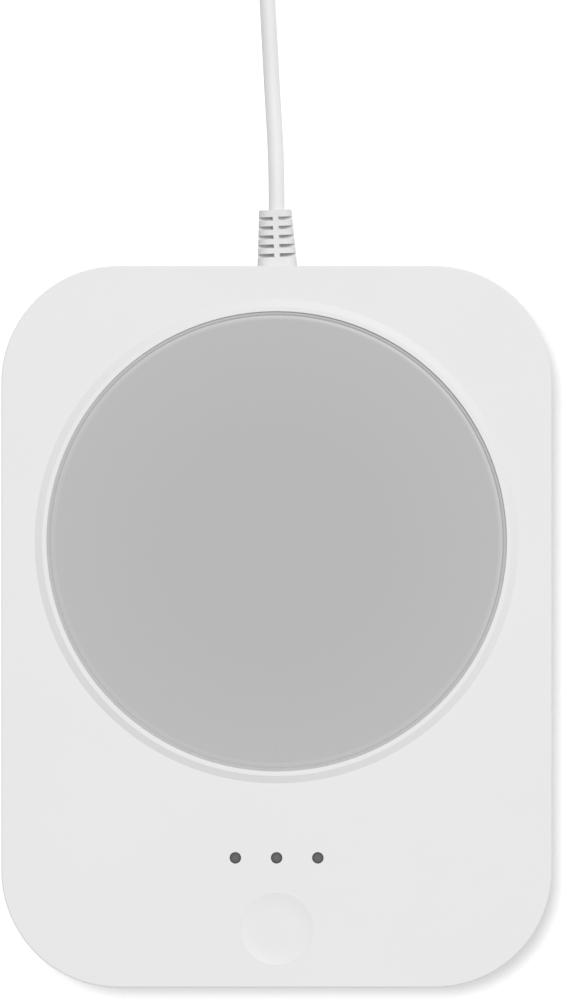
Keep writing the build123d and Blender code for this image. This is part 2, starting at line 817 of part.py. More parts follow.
clip_inner = fuse_radius + fit_gap
clip_outer = clip_inner + fuse_clip_thickness
clip_foot_length = fuse_offset + plate_screw_head_radius + seat_gap
with BuildPart() as fuse_clip:
    with BuildSketch(Plane.XZ.offset(-clip_spot[1])):
        with Locations((fuse_x, fuse_z)):
            Circle(clip_outer)
        with Locations((fuse_x, (fuse_z + retainer_bottom_z) / 2)):
            Rectangle(2 * clip_outer, retainer_bottom_z - fuse_z)
        with Locations((fuse_x + clip_foot_length / 2, retainer_bottom_z - fuse_clip_thickness / 2)):
            Rectangle(clip_foot_length, fuse_clip_thickness)
        with Locations((fuse_x, retainer_bottom_z + clip_outer)):
            Rectangle(4 * clip_outer, 2 * clip_outer, mode=Mode.SUBTRACT)
        with Locations((fuse_x, fuse_z)):
            Circle(clip_inner, mode=Mode.SUBTRACT)
        with Locations((fuse_x, (fuse_z + retainer_bottom_z) / 2)):
            Rectangle(2 * clip_inner, retainer_bottom_z - fuse_z, mode=Mode.SUBTRACT)
    extrude(amount=fuse_clip_width / 2, both=True)
    with BuildSketch(Plane.XY.offset(retainer_bottom_z)):
        with Locations(clip_spot):
            Circle(plate_screw_radius + seat_gap)
    extrude(amount=-fuse_clip_thickness, mode=Mode.SUBTRACT)
fuse_clip.part.label = "fuse_clip"
export_step(fuse_clip.part, "parts/fuse_clip.step")

# ---------------------------------------------------------------- press key
# Cup-shaped cap with a shallow dish, a flange that stops under the skirt, two ears between
# the guide ribs, and a ribbed stem on the switch.
with BuildPart() as mode_key:
    with BuildSketch(key_section):
        with BuildLine():
            Polyline(
                (0, key_top_z - key_dish_depth - key_wall),
                (key_radius - key_wall, key_top_z - key_dish_depth - key_wall),
                (key_radius - key_wall, key_flange_bottom_z),
                (key_flange_radius, key_flange_bottom_z),
                (key_flange_radius, key_flange_top_z),
                (key_radius, key_flange_top_z),
                (key_radius, key_top_z),
                (key_dish_radius, key_top_z),
            )
            RadiusArc(
                (key_dish_radius, key_top_z),
                (key_dish_floor_radius, key_top_z - key_dish_depth),
                dish_arc_radius,
            )
            Polyline(
                (key_dish_floor_radius, key_top_z - key_dish_depth),
                (0, key_top_z - key_dish_depth),
                (0, key_top_z - key_dish_depth - key_wall),
            )
        make_face()
    revolve(axis=key_axis)
    with BuildSketch(Plane.XY.offset(plunger_top_z)):
        with Locations((0, key_y)):
            Circle(key_stem_radius)
    extrude(amount=key_top_z - key_dish_depth - key_wall - plunger_top_z + fit_gap)
    with BuildSketch(Plane.XY.offset(key_flange_bottom_z)):
        with Locations((0, key_y)):
            Rectangle(2 * (key_radius - key_wall / 2), key_rib_thickness)
            Rectangle(key_rib_thickness, 2 * (key_radius - key_wall / 2))
    extrude(amount=key_top_z - key_dish_depth - key_wall - key_flange_bottom_z + fit_gap)
    with BuildSketch(Plane.XY.offset(key_flange_bottom_z)):
        with Locations((0, key_y)):
            with GridLocations(2 * key_flange_radius, 1, 2, 1):
                Rectangle(2 * key_ear_length, key_ear_width)
    extrude(amount=key_flange_thickness)
    with BuildSketch(Plane.XY.offset(key_flange_bottom_z)):
        with Locations((0, key_y)):
            Circle(key_radius - key_wall)
            Rectangle(2 * key_radius, key_rib_thickness, mode=Mode.SUBTRACT)
            Rectangle(key_rib_thickness, 2 * key_radius, mode=Mode.SUBTRACT)
            Circle(key_stem_radius, mode=Mode.SUBTRACT)
    extrude(amount=key_flange_thickness, mode=Mode.SUBTRACT)
mode_key.part.label = "mode_key"
export_step(mode_key.part, "parts/mode_key.step")

# ---------------------------------------------------------------- tactile switch
with BuildPart() as switch_base:
    with BuildSketch(Plane.XY.offset(board_top_z)):
        with Locations((0, key_y)):
            Rectangle(switch_side, switch_side)
    extrude(amount=switch_base_height)
    with BuildSketch(Plane.XY.offset(board_top_z + switch_floor)):
        with Locations((0, key_y)):
            Circle(switch_bore_radius)
    extrude(amount=switch_base_height, mode=Mode.SUBTRACT)
switch_base.part.label = "switch_base"
export_step(switch_base.part, "parts/switch_base.step")

with BuildPart() as switch_frame:
    with BuildSketch(Plane.XY.offset(board_top_z + switch_base_height)):
        with Locations((0, key_y)):
            RectangleRounded(switch_side, switch_side, switch_side / 12)
            Circle(plunger_radius + seat_gap, mode=Mode.SUBTRACT)
    extrude(amount=switch_frame_thickness)
switch_frame.part.label = "switch_frame"
export_step(switch_frame.part, "parts/switch_frame.step")

plunger_flange_z = board_top_z + switch_base_height - fit_gap
with BuildPart() as switch_plunger:
    with BuildSketch(Plane.XY.offset(plunger_flange_z - plunger_flange_thickness)):
        with Locations((0, key_y)):
            Circle(plunger_flange_radius)
    extrude(amount=plunger_flange_thickness)
    with BuildSketch(Plane.XY.offset(plunger_flange_z - plunger_flange_thickness / 2)):
        with Locations((0, key_y)):
            Circle(plunger_radius)
    extrude(amount=plunger_top_z - plunger_flange_z + plunger_flange_thickness / 2)
switch_plunger.part.label = "switch_plunger"
export_step(switch_plunger.part, "parts/switch_plunger.step")

# Snap dome: a thin cap that the plunger rests on and that returns the key
dome_floor_z = board_top_z + switch_floor
dome_top_z = plunger_flange_z - plunger_flange_thickness
dome_foot_radius = switch_bore_radius - seat_gap
dome_height = dome_top_z - dome_floor_z
dome_sphere_radius = (dome_foot_radius**2 + dome_height**2) / (2 * dome_height)
with BuildPart() as switch_dome:
    with BuildSketch(key_section):
        with BuildLine():
            RadiusArc((dome_foot_radius, dome_floor_z), (0, dome_top_z), -dome_sphere_radius)
            Line((0, dome_top_z), (0, dome_top_z - dome_thickness))
            RadiusArc(
                (0, dome_top_z - dome_thickness),
                (dome_foot_radius - dome_thickness, dome_floor_z),
                dome_sphere_radius - dome_thickness,
            )
            Line((dome_foot_radius - dome_thickness, dome_floor_z), (dome_foot_radius, dome_floor_z))
        make_face()
    revolve(axis=key_axis)
switch_dome.part.label = "switch_dome"
export_step(switch_dome.part, "parts/switch_dome.step")

# ---------------------------------------------------------------- control board
with BuildPart() as control_board:
    with BuildSketch(Plane.XY.offset(board_bottom_z)):
        with Locations((0, board_y)):
            RectangleRounded(board_width, board_length, board_thickness)
            with GridLocations(board_screw_spacing_x, board_screw_spacing_y, 2, 2):
                Circle(board_screw_radius + seat_gap, mode=Mode.SUBTRACT)
    extrude(amount=board_thickness)
control_board.part.label = "control_board"
export_step(control_board.part, "parts/control_board.step")

with BuildPart() as board_screws:
    with BuildSketch(Plane.XY.offset(board_bottom_z)):
        with Locations((0, board_y)):
            with GridLocations(board_screw_spacing_x, board_screw_spacing_y, 2, 2):
                Circle(board_screw_head_radius)
    extrude(amount=-board_screw_head_height)
    fillet(board_screws.faces().group_by(Axis.Z)[0].edges(), board_screw_head_height / 3)
    with BuildSketch(Plane.XY.offset(board_bottom_z)):
        with Locations((0, board_y)):
            with GridLocations(board_screw_spacing_x, board_screw_spacing_y, 2, 2):
                Circle(board_screw_radius)
    extrude(amount=board_screw_length)
board_screws.part.label = "board_screws"
export_step(board_screws.part, "parts/board_screws.step")

# Three lamps on the board, one under each window
with BuildPart() as indicator_leds:
    with BuildSketch(Plane.XY.offset(board_top_z)):
        with Locations(*window_spots):
            Rectangle(led_side, led_side)
    extrude(amount=led_base_height)
    with BuildSketch(Plane.XY.offset(board_top_z + led_base_height)):
        with Locations(*window_spots):
            Circle(led_lens_radius)
    extrude(amount=led_lens_height)
indicator_leds.part.label = "indicator_leds"
export_step(indicator_leds.part, "parts/indicator_leds.step")

# Light pipe: three posts on one bar, staked under the deck
with BuildPart() as light_pipe:
    with BuildSketch(Plane.XY.offset(ceiling_z - pipe_bar_thickness)):
        with Locations((0, window_y)):
            SlotOverall(pipe_bar_length, pipe_bar_width)
        with Locations((-stake_x, window_y), (stake_x, window_y)):
            Circle(stake_radius + seat_gap, mode=Mode.SUBTRACT)
    extrude(amount=pipe_bar_thickness)
    with BuildSketch(Plane.XY.offset(led_top_z + led_gap)):
        with Locations(*window_spots):
            Circle(window_radius)
    extrude(amount=deck_z - window_sink - led_top_z - led_gap)
light_pipe.part.label = "light_pipe"
export_step(light_pipe.part, "parts/light_pipe.step")

# Processor, power transistor and small passives
chip_y = board_y - chip_offset
passive_y = board_y - passive_offset
with BuildPart() as board_chips:
    with BuildSketch(Plane.XY.offset(board_top_z)):
        with Locations((-chip_pitch / 2, chip_y)):
            Rectangle(processor_side, processor_side)
        with Locations((chip_pitch / 2, chip_y)):
            Rectangle(transistor_side, transistor_side)
    extrude(amount=chip_height, taper=chip_draft)
    with BuildSketch(Plane.XY.offset(board_top_z)):
        with Locations((0, passive_y)):
            with GridLocations(passive_column_pitch, passive_row_pitch, 2, 2):
                Rectangle(passive_length, passive_width)
        with Locations((0, passive_y - passive_row_pitch)):
            with GridLocations(passive_column_pitch / 2, 1, 2, 1):
                Rectangle(passive_length, passive_width)
    extrude(amount=chip_height / 2)
board_chips.part.label = "board_chips"
export_step(board_chips.part, "parts/board_chips.step")

with BuildPart() as board_capacitor:
    with BuildSketch(Plane.XY.offset(board_top_z)):
        with Locations((capacitor_x, board_y + capacitor_offset)):
            Circle(capacitor_radius)
    extrude(amount=capacitor_height)
    fillet(board_capacitor.faces().sort_by(Axis.Z)[-1].edges(), capacitor_radius / 8)
board_capacitor.part.label = "board_capacitor"
export_step(board_capacitor.part, "parts/board_capacitor.step")

# Six-way wire header at the board's rear edge
header_width = header_ways * header_pitch + 2 * header_wall
header_y = board_rear_y - header_depth / 2 + header_overhang
header_face_y = header_y + header_depth / 2
header_wire_z = board_top_z + header_height / 2
header_way_x = [
    header_x + (k - (header_ways - 1) / 2) * header_pitch for k in range(header_ways)
]
with BuildPart() as wire_header:
    with BuildSketch(Plane.XY.offset(board_top_z)):
        with Locations((header_x, header_y)):
            Rectangle(header_width, header_depth)
    extrude(amount=header_height)
    with BuildSketch(Plane.XZ.offset(-header_face_y)):
        with Locations(*[(x, header_wire_z) for x in header_way_x]):
            Rectangle(wire_diameter + 2 * groove_gap, header_height - 2 * header_wall)
    extrude(amount=header_wall, mode=Mode.SUBTRACT)
wire_header.part.label = "wire_header"
export_step(wire_header.part, "parts/wire_header.step")

# ---------------------------------------------------------------- screws and feet
with BuildPart() as case_screws:
    with BuildSketch(Plane.XY.offset(case_seat_z)):
        with Locations(*case_spots):
            Circle(case_screw_head_radius)
    extrude(amount=-case_screw_head_height)
    fillet(case_screws.faces().group_by(Axis.Z)[0].edges(), case_screw_head_height / 3)
    with BuildSketch(Plane.XY.offset(case_seat_z)):
        with Locations(*case_spots):
            Circle(case_screw_radius)
    extrude(amount=case_screw_length)
    # Cross recess in each head
    with BuildSketch(Plane.XY.offset(case_seat_z - case_screw_head_height)):
        with Locations(*case_spots):
            Rectangle(case_recess_length, case_recess_width)
            Rectangle(case_recess_width, case_recess_length)
    extrude(amount=case_screw_head_height / 2, mode=Mode.SUBTRACT)
case_screws.part.label = "case_screws"
export_step(case_screws.part, "parts/case_screws.step")

with BuildPart() as rubber_feet:
    with BuildSketch():
        with Locations(*foot_spots):
            Circle(foot_radius)
    extrude(amount=foot_stand + foot_recess)
    fillet(rubber_feet.faces().group_by(Axis.Z)[0].edges(), foot_edge_radius)
rubber_feet.part.label = "rubber_feet"
export_step(rubber_feet.part, "parts/rubber_feet.step")

# ---------------------------------------------------------------- strain relief and clamp
# Tapered relief with five rows of slots, above and below, that reach the cord and run out
# through the rounded sides. A neck sits in the wall, with a flange inside.
with BuildPart() as strain_relief:
    with BuildSketch(relief_plane):
        RectangleRounded(relief_base_width, relief_base_height, relief_corner * relief_base_height)
    with BuildSketch(relief_plane.offset(relief_length)):
        RectangleRounded(relief_tip_width, relief_tip_height, relief_corner * relief_tip_height)
    loft()
    # Its foot, cut to the wall's two tapers
    with BuildSketch(relief_plane):
        RectangleRounded(relief_base_width, relief_base_height, relief_corner * relief_base_height)
    extrude(amount=-3 * relief_sway)
    with BuildSketch(Plane.XY.offset(parting_z)):
        with Locations((relief_x, rear_y)):
            Rectangle(
                2 * relief_base_width, relief_base_height, align=(Align.CENTER, Align.MAX)
            )
    extrude(amount=relief_base_height, taper=draft_angle, mode=Mode.SUBTRACT)
    with BuildSketch(Plane.XY.offset(parting_z)):
        with Locations((relief_x, rear_y)):
            Rectangle(
                2 * relief_base_width, relief_base_height, align=(Align.CENTER, Align.MAX)
            )
    extrude(amount=-relief_base_height, taper=draft_angle, mode=Mode.SUBTRACT)
    for row in range(relief_slot_count):
        slot_start = relief_slot_first + row * relief_slot_pitch
        with BuildSketch(relief_plane.offset(slot_start)):
            Rectangle(relief_base_width, relief_base_height)
            Rectangle(relief_base_width, 2 * relief_slot_floor, mode=Mode.SUBTRACT)
            Rectangle(relief_spine, relief_base_height, mode=Mode.SUBTRACT)
        extrude(amount=relief_slot_width, mode=Mode.SUBTRACT)
    with BuildSketch(Plane.XZ.offset(-rear_y - seat_gap - fit_gap)):
        with Locations((relief_x, cord_z)):
            Circle(relief_neck_radius)
    extrude(amount=wall + 2 * seat_gap + 2 * fit_gap)
    with BuildSketch(Plane.XZ.offset(-rear_y + wall + seat_gap)):
        with Locations((relief_x, cord_z)):
            RectangleRounded(relief_flange_width, relief_flange_height, relief_neck_radius / 2)
    extrude(amount=relief_flange_thickness)
    with BuildSketch(Plane.XZ.offset(-cord_exit.Y - relief_sway)):
        with Locations((cord_x, cord_z)):
            Circle(cord_radius + thread_gap)
    extrude(amount=lead_length + relief_length + relief_sway, mode=Mode.SUBTRACT)
strain_relief.part.label = "strain_relief"
export_step(strain_relief.part, "parts/strain_relief.step")

with BuildPart() as lead_cord:
    with BuildSketch(Plane.XZ.offset(-cord_exit.Y)):
        with Locations((cord_x, cord_z)):
            Circle(cord_radius)
    extrude(amount=cord_exit.Y - rear_y + lead_length)
lead_cord.part.label = "lead_cord"
export_step(lead_cord.part, "parts/lead_cord.step")

with BuildPart() as cord_clamp:
    with BuildSketch(Plane.XY.offset(clamp_bar_z)):
        with Locations((cord_x, clamp_y)):
            SlotOverall(clamp_bar_length, clamp_bar_width)
        with Locations(*clamp_spots):
            Circle(clamp_screw_radius + seat_gap, mode=Mode.SUBTRACT)
    extrude(amount=clamp_bar_thickness)
    with BuildSketch(Plane.XZ.offset(-clamp_y)):
        with Locations((cord_x, cord_z)):
            Circle(cord_radius + fit_gap)
    extrude(amount=clamp_bar_width, both=True, mode=Mode.SUBTRACT)
cord_clamp.part.label = "cord_clamp"
export_step(cord_clamp.part, "parts/cord_clamp.step")

clamp_seat_z = clamp_bar_z + clamp_bar_thickness
with BuildPart() as clamp_screws:
    with BuildSketch(Plane.XY.offset(clamp_seat_z)):
        with Locations(*clamp_spots):
            Circle(clamp_screw_head_radius)
    extrude(amount=clamp_screw_head_height)
    fillet(clamp_screws.faces().group_by(Axis.Z)[-1].edges(), clamp_screw_head_height / 3)
    with BuildSketch(Plane.XY.offset(clamp_seat_z)):
        with Locations(*clamp_spots):
            Circle(clamp_screw_radius)
    extrude(amount=-clamp_screw_length)
clamp_screws.part.label = "clamp_screws"
export_step(clamp_screws.part, "parts/clamp_screws.step")

# ---------------------------------------------------------------- wires inside the housing
# Each wire's route runs from what it leaves to its way in the header, by lanes beside the
# middle and by three levels: low over the floor, half way up, and at the header's ways.
wire_radius = wire_diameter / 2
wire_low_z = floor_z + wire_floor_gap + wire_radius
wire_mid_z = (wire_low_z + header_wire_z) / 2
header_front_y = header_face_y + header_run_in
lead_end = Vector(cord_x, rear_y - lead_length, cord_z)
fuse_front = Vector(fuse_x, clip_spot[1] - fuse_length / 2 - fuse_cap_length, fuse_z)
fuse_rear = Vector(fuse_x, clip_spot[1] + fuse_length / 2 + fuse_cap_length, fuse_z)


def along(start, end, share):
    """The value that lies that share of the way from start to end."""
    return start + (end - start) * share


def run_y(share):
    """The place, that share of the way from the lead's end to the header's front."""
    return along(lead_end.Y, header_front_y, share)


supply_routes = []
for way, side in enumerate((-1, 1)):
    start_x = cord_x + side * (wire_radius + fit_gap)
    lane_x = -supply_lane_x + side * supply_lane_pitch / 2
    lag = way * wire_diameter
    supply_routes.append([
        Vector(start_x, lead_end.Y, cord_z),
        Vector(start_x, lead_end.Y - wire_run_in - lag, cord_z),
        Vector(along(start_x, lane_x, 0.6), run_y(0.225) - lag, wire_low_z + wire_radius),
        Vector(lane_x, run_y(0.5), wire_low_z),
        Vector(lane_x + wire_radius, run_y(0.8), wire_low_z + wire_radius),
        Vector(header_way_x[way], header_front_y, wire_mid_z),
        Vector(header_way_x[way], header_face_y, header_wire_z),
    ])

film_x, film_y = wire_slot_spot
heater_routes = [
    [
        Vector(film_x - film_lead_pitch / 2, film_y - wire_radius, heater_z),
        Vector(film_x - film_lead_pitch / 2, film_y - wire_radius, wire_mid_z + wire_diameter),
        Vector(along(film_x, film_lead_lane, 0.5), film_y - sensor_lead_reach, wire_mid_z),
        Vector(film_lead_lane, along(film_y, header_front_y, 0.75), wire_mid_z - wire_radius),
        Vector(header_way_x[4], header_front_y, wire_mid_z + wire_diameter),
        Vector(header_way_x[4], header_face_y, header_wire_z),
    ],
    [
        Vector(film_x + film_lead_pitch / 2, film_y - wire_radius, heater_z),
        Vector(film_x + film_lead_pitch / 2, film_y - wire_radius, fuse_z),
        Vector(fuse_x + wire_diameter, along(fuse_rear.Y, film_y, 0.6), fuse_z - wire_radius),
        Vector(fuse_x, fuse_rear.Y + fuse_lead_length, fuse_z),
        fuse_rear,
    ],
    [
        fuse_front,
        Vector(fuse_x, fuse_front.Y - fuse_lead_length, fuse_z),
        Vector(header_way_x[5] + wire_radius, header_front_y, header_wire_z + wire_radius),
        Vector(header_way_x[5], header_face_y, header_wire_z),
    ],
]

sensor_routes = []
for way, side in ((2, -1), (3, 1)):
    lead_x = side * sensor_lead_pitch / 2
    lane_x = side * sensor_lane_pitch / 2
    sensor_routes.append([
        Vector(lead_x, plate_y, heater_z - 2 * sensor_radius),
        Vector(lead_x, plate_y, header_wire_z),
        Vector(along(lead_x, lane_x, 0.4), plate_y - sensor_lead_reach, wire_mid_z),
        Vector(lane_x, along(plate_y, header_front_y, 0.6), wire_low_z + wire_radius),
        Vector(header_way_x[way], header_front_y, wire_mid_z),
        Vector(header_way_x[way], header_face_y, header_wire_z),
    ])
with BuildPart() as supply_wires:
    for route in supply_routes:
        with BuildLine() as wire_path:
            FilletPolyline(*route, radius=bend_radii(route))
        with BuildSketch(Plane(origin=wire_path.line @ 0, z_dir=wire_path.line % 0)):
            Circle(wire_radius)
        sweep(path=wire_path.line)
supply_wires.part.label = "supply_wires"
export_step(supply_wires.part, "parts/supply_wires.step")

with BuildPart() as heater_wires:
    for route in heater_routes:
        with BuildLine() as wire_path:
            FilletPolyline(*route, radius=bend_radii(route))
        with BuildSketch(Plane(origin=wire_path.line @ 0, z_dir=wire_path.line % 0)):
            Circle(wire_radius)
        sweep(path=wire_path.line)
heater_wires.part.label = "heater_wires"
export_step(heater_wires.part, "parts/heater_wires.step")

with BuildPart() as sensor_wires:
    for route in sensor_routes:
        with BuildLine() as wire_path:
            FilletPolyline(*route, radius=bend_radii(route))
        with BuildSketch(Plane(origin=wire_path.line @ 0, z_dir=wire_path.line % 0)):
            Circle(wire_radius)
        sweep(path=wire_path.line)
sensor_wires.part.label = "sensor_wires"
export_step(sensor_wires.part, "parts/sensor_wires.step")

# ---------------------------------------------------------------- cord, coil, tie
with BuildPart() as power_cord:
    with BuildLine() as cord_path:
        FilletPolyline(*cord_route, radius=bend_radii(cord_route))
    with BuildSketch(Plane(origin=cord_path.line @ 0, z_dir=cord_path.line % 0)):
        Circle(cord_radius)
    sweep()
power_cord.part.label = "power_cord"
export_step(power_cord.part, "parts/power_cord.step")

with BuildPart() as cord_tail:
    with BuildLine() as tail_path:
        FilletPolyline(*tail_route, radius=bend_radii(tail_route))
    with BuildSketch(Plane(origin=tail_path.line @ 0, z_dir=tail_path.line % 0)):
        Circle(cord_radius)
    sweep()
cord_tail.part.label = "cord_tail"
export_step(cord_tail.part, "parts/cord_tail.step")

# The coil's outer shape, with a short straight length of cord at each end
coil_width = (coil_columns - 1) * coil_pitch + cord_diameter + 2 * fit_gap
coil_height = (coil_rows - 1) * coil_pitch + cord_diameter + 2 * fit_gap
coil_middle_z = (coil_first_z + coil_last_z) / 2
coil_section = Plane(origin=(coil_x, coil_y, 0), x_dir=(1, 0, 0), z_dir=(0, -1, 0))
with BuildPart() as cord_coil:
    with BuildSketch(coil_section):
        with Locations((coil_mean_radius, coil_middle_z)):
            RectangleRounded(coil_width, coil_height, 0.9 * cord_radius)
    revolve(axis=coil_axis)
    with BuildSketch(Plane(origin=coil_entry, x_dir=(1, 0, 0), z_dir=(0, 1, 0))):
        Circle(cord_radius)
    extrude(amount=coil_stub)
    with BuildSketch(Plane(origin=coil_exit, x_dir=(0, 1, 0), z_dir=(-1, 0, 0))):
        Circle(cord_radius)
    extrude(amount=coil_stub)
cord_coil.part.label = "cord_coil"
export_step(cord_coil.part, "parts/cord_coil.step")

tie_sweep = degrees(tie_width / coil_mean_radius)
tie_section = Plane(
    origin=(coil_x, coil_y, 0),
    x_dir=(cos(radians(tie_angle)), sin(radians(tie_angle)), 0),
    z_dir=(sin(radians(tie_angle)), -cos(radians(tie_angle)), 0),
)
with BuildPart() as cord_tie:
    with BuildSketch(tie_section):
        with Locations((coil_mean_radius, coil_middle_z)):
            RectangleRounded(
                coil_width + 2 * tie_thickness,
                coil_height + 2 * tie_thickness + fit_gap,
                cord_radius + tie_thickness,
            )
            RectangleRounded(
                coil_width + fit_gap, coil_height + fit_gap, 0.9 * cord_radius, mode=Mode.SUBTRACT
            )
    revolve(axis=coil_axis, revolution_arc=tie_sweep)
cord_tie.part.label = "cord_tie"
export_step(cord_tie.part, "parts/cord_tie.step")

# ---------------------------------------------------------------- plug
plug_rear = tail_route[-1]
plug_way = (tail_route[-1] - tail_route[-2]).normalized()
plug_plane = Plane(origin=plug_rear, x_dir=(-plug_way.Y, plug_way.X, 0), z_dir=plug_way)
shell_start = plug_relief_length + plug_body_length
shell_room = plug_shell_length + plug_shell_inset
plug_end_radius = plug_corner_radius / 3
with BuildPart() as plug_body:
    with BuildSketch(plug_plane.offset(plug_relief_length)):
        RectangleRounded(plug_body_width, plug_body_height, plug_corner_radius)
    extrude(amount=plug_body_length)
    plug_faces = plug_body.faces().sort_by(Axis(plug_rear, plug_way))
    fillet([*plug_faces[0].edges(), *plug_faces[-1].edges()], plug_end_radius)
    with BuildSketch(plug_plane):
        Circle(plug_relief_radius)
    with BuildSketch(plug_plane.offset(plug_relief_length)):
        Circle(plug_body_height / 2 - plug_end_radius - seat_gap)
    loft()
    # Grip grooves in both narrow sides
    for row in range(plug_groove_count):
        groove_start = plug_relief_length + plug_groove_first + row * plug_groove_pitch
        with BuildSketch(plug_plane.offset(groove_start)):
            with GridLocations(plug_body_width, 1, 2, 1):
                Rectangle(2 * plug_groove_depth, plug_body_height)
        extrude(amount=plug_groove_width, mode=Mode.SUBTRACT)
    with BuildSketch(plug_plane.offset(shell_start)):
        Rectangle(plug_shell_width + fit_gap, plug_shell_height + fit_gap)
    extrude(amount=-plug_shell_inset, mode=Mode.SUBTRACT)
plug_body.part.label = "plug_body"
export_step(plug_body.part, "parts/plug_body.step")

shell_plane = plug_plane.offset(shell_start - plug_shell_inset)
with BuildPart() as plug_shell:
    with BuildSketch(shell_plane):
        RectangleRounded(plug_shell_width, plug_shell_height, 2 * plug_shell_wall)
        RectangleRounded(
            plug_shell_width - 2 * plug_shell_wall,
            plug_shell_height - 2 * plug_shell_wall,
            plug_shell_wall,
            mode=Mode.SUBTRACT,
        )
    extrude(amount=shell_room)
    with BuildSketch(Plane(
        origin=shell_plane.origin + plug_way * (shell_room - plug_shell_length / 2),
        x_dir=plug_way,
        z_dir=(0, 0, 1),
    )):
        with GridLocations(1, plug_window_spacing, 1, 2):
            Rectangle(1.2 * plug_window_side, plug_window_side)
    extrude(amount=plug_shell_height, both=True, mode=Mode.SUBTRACT)
plug_shell.part.label = "plug_shell"
export_step(plug_shell.part, "parts/plug_shell.step")

tongue_width = plug_shell_width - 4 * plug_shell_wall
tongue_y = plug_shell_height / 2 - plug_shell_wall - fit_gap - plug_tongue_thickness / 2
with BuildPart() as plug_tongue:
    with BuildSketch(shell_plane):
        with Locations((0, tongue_y)):
            Rectangle(tongue_width, plug_tongue_thickness)
    extrude(amount=shell_room - 4 * seat_gap)
plug_tongue.part.label = "plug_tongue"
export_step(plug_tongue.part, "parts/plug_tongue.step")

with BuildPart() as plug_contacts:
    with BuildSketch(shell_plane.offset(plug_shell_inset)):
        with Locations(
            (0, tongue_y - plug_tongue_thickness / 2 - plug_contact_thickness / 2)
        ):
            with GridLocations(plug_contact_pitch, 1, plug_contact_count, 1):
                Rectangle(plug_contact_width, plug_contact_thickness)
    extrude(amount=plug_shell_length - 10 * seat_gap)
plug_contacts.part.label = "plug_contacts"
export_step(plug_contacts.part, "parts/plug_contacts.step")

print("cord bends, mm:", [round(r) for r in bend_radii(cord_route)])
print("tail bends, mm:", [round(r) for r in bend_radii(tail_route)])
cord_area = pi * cord_radius**2
for tube, route in ((power_cord, cord_route), (cord_tail, tail_route)):
    share = tube.part.volume / (cord_area * swept_length(route))
    print(tube.part.label, "volume over section times length:", round(share, 5))
full_turns = coil_columns * coil_rows
turn_length = full_turns * 2 * pi * coil_mean_radius - pi / 2 * coil_outer_turn
cord_length = (
    swept_length(cord_route) + swept_length(tail_route) + turn_length + 2 * coil_stub
)
print("cord length, mm:", round(cord_length))
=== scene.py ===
import json
from math import atan2, cos, floor, pi, radians, sin

import bmesh
import bpy
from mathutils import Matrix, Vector


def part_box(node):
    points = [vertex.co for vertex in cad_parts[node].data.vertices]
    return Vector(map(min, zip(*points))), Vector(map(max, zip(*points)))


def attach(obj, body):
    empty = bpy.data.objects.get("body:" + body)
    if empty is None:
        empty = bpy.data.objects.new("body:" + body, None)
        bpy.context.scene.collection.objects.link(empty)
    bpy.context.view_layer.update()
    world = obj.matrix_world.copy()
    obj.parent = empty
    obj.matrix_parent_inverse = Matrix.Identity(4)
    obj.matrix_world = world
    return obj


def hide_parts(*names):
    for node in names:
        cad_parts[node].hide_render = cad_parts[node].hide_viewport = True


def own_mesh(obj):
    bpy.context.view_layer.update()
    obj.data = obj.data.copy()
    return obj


# The looks of the mug warmer: its camera, its cord, seal, snap dome and wiper, the finish of each
# piece, a plain pale floor and soft light. Lengths are in metres, and MM turns millimetres into
# metres. Only the cord's routes and its coil are given in millimetres.

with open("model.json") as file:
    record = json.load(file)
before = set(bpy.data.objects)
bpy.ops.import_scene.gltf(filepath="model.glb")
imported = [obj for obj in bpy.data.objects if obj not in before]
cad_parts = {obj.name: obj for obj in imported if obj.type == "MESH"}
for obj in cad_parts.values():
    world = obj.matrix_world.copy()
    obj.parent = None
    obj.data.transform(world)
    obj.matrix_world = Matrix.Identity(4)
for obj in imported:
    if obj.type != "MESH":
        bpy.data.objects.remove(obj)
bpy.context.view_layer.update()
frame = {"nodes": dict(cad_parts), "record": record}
nodes = frame["nodes"]
MM = 0.001

# ---------------------------------------------------------------- sizes and places
deck_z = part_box("light_pipe")[1].z
plate_low, plate_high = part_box("heating_plate")
plate_middle = (plate_low + plate_high) / 2
plate_radius = (plate_high.x - plate_low.x) / 2
# The plate is painted paler from half its radius out to its rim, and most on the bevel: a painted
# highlight.
PLATE_BEVEL_START = 0.978
PLATE_BEVEL_END = 0.998
PLATE_RAMP_START = 0.5
PLATE_RIM_HIGHLIGHT_SHARE = 0.2
PLATE_SPECKLE = 0.3 * MM
PLATE_SPECKLE_DEPTH = 0.03
PLATE_SPECKLE_RELIEF = 0.006 * MM
PLATE_ROUGHNESS = (0.48, 0.62)
window_low, window_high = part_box("indicator_leds")
window_y = (window_low.y + window_high.y) / 2
WINDOW_PITCH = 8.25 * MM
WINDOW_RADIUS = 1.1 * MM
WINDOW_TONES = ((0.0, 0.135), (0.72, 0.095), (1.0, 0.022))
WINDOW_CLOUD = 0.4 * MM
WINDOW_CLOUD_SHARE = 0.25
WINDOW_ROUGHNESS = (0.12, 0.24)


def added(name, data):
    """A new object with that data, in the scene."""
    made = bpy.data.objects.new(name, data)
    bpy.context.scene.collection.objects.link(made)
    return made


def added_mesh(name, mesh):
    """A new object from the finished bmesh, which is freed."""
    made = added(name, bpy.data.meshes.new(name))
    mesh.to_mesh(made.data)
    mesh.free()
    return made


# ---------------------------------------------------------------- camera
# A long lens that looks straight down, with the cord's side up. The view is as high as the
# photograph shows at the deck's level, and its middle lies behind the housing's middle.
VIEW_HEIGHT = 200 * MM
VIEW_MIDDLE = (2.38 * MM, 25.34 * MM)
LENS, SENSOR = 400.0, 36.0
NEAREST, FURTHEST = 10 * MM, 20.0

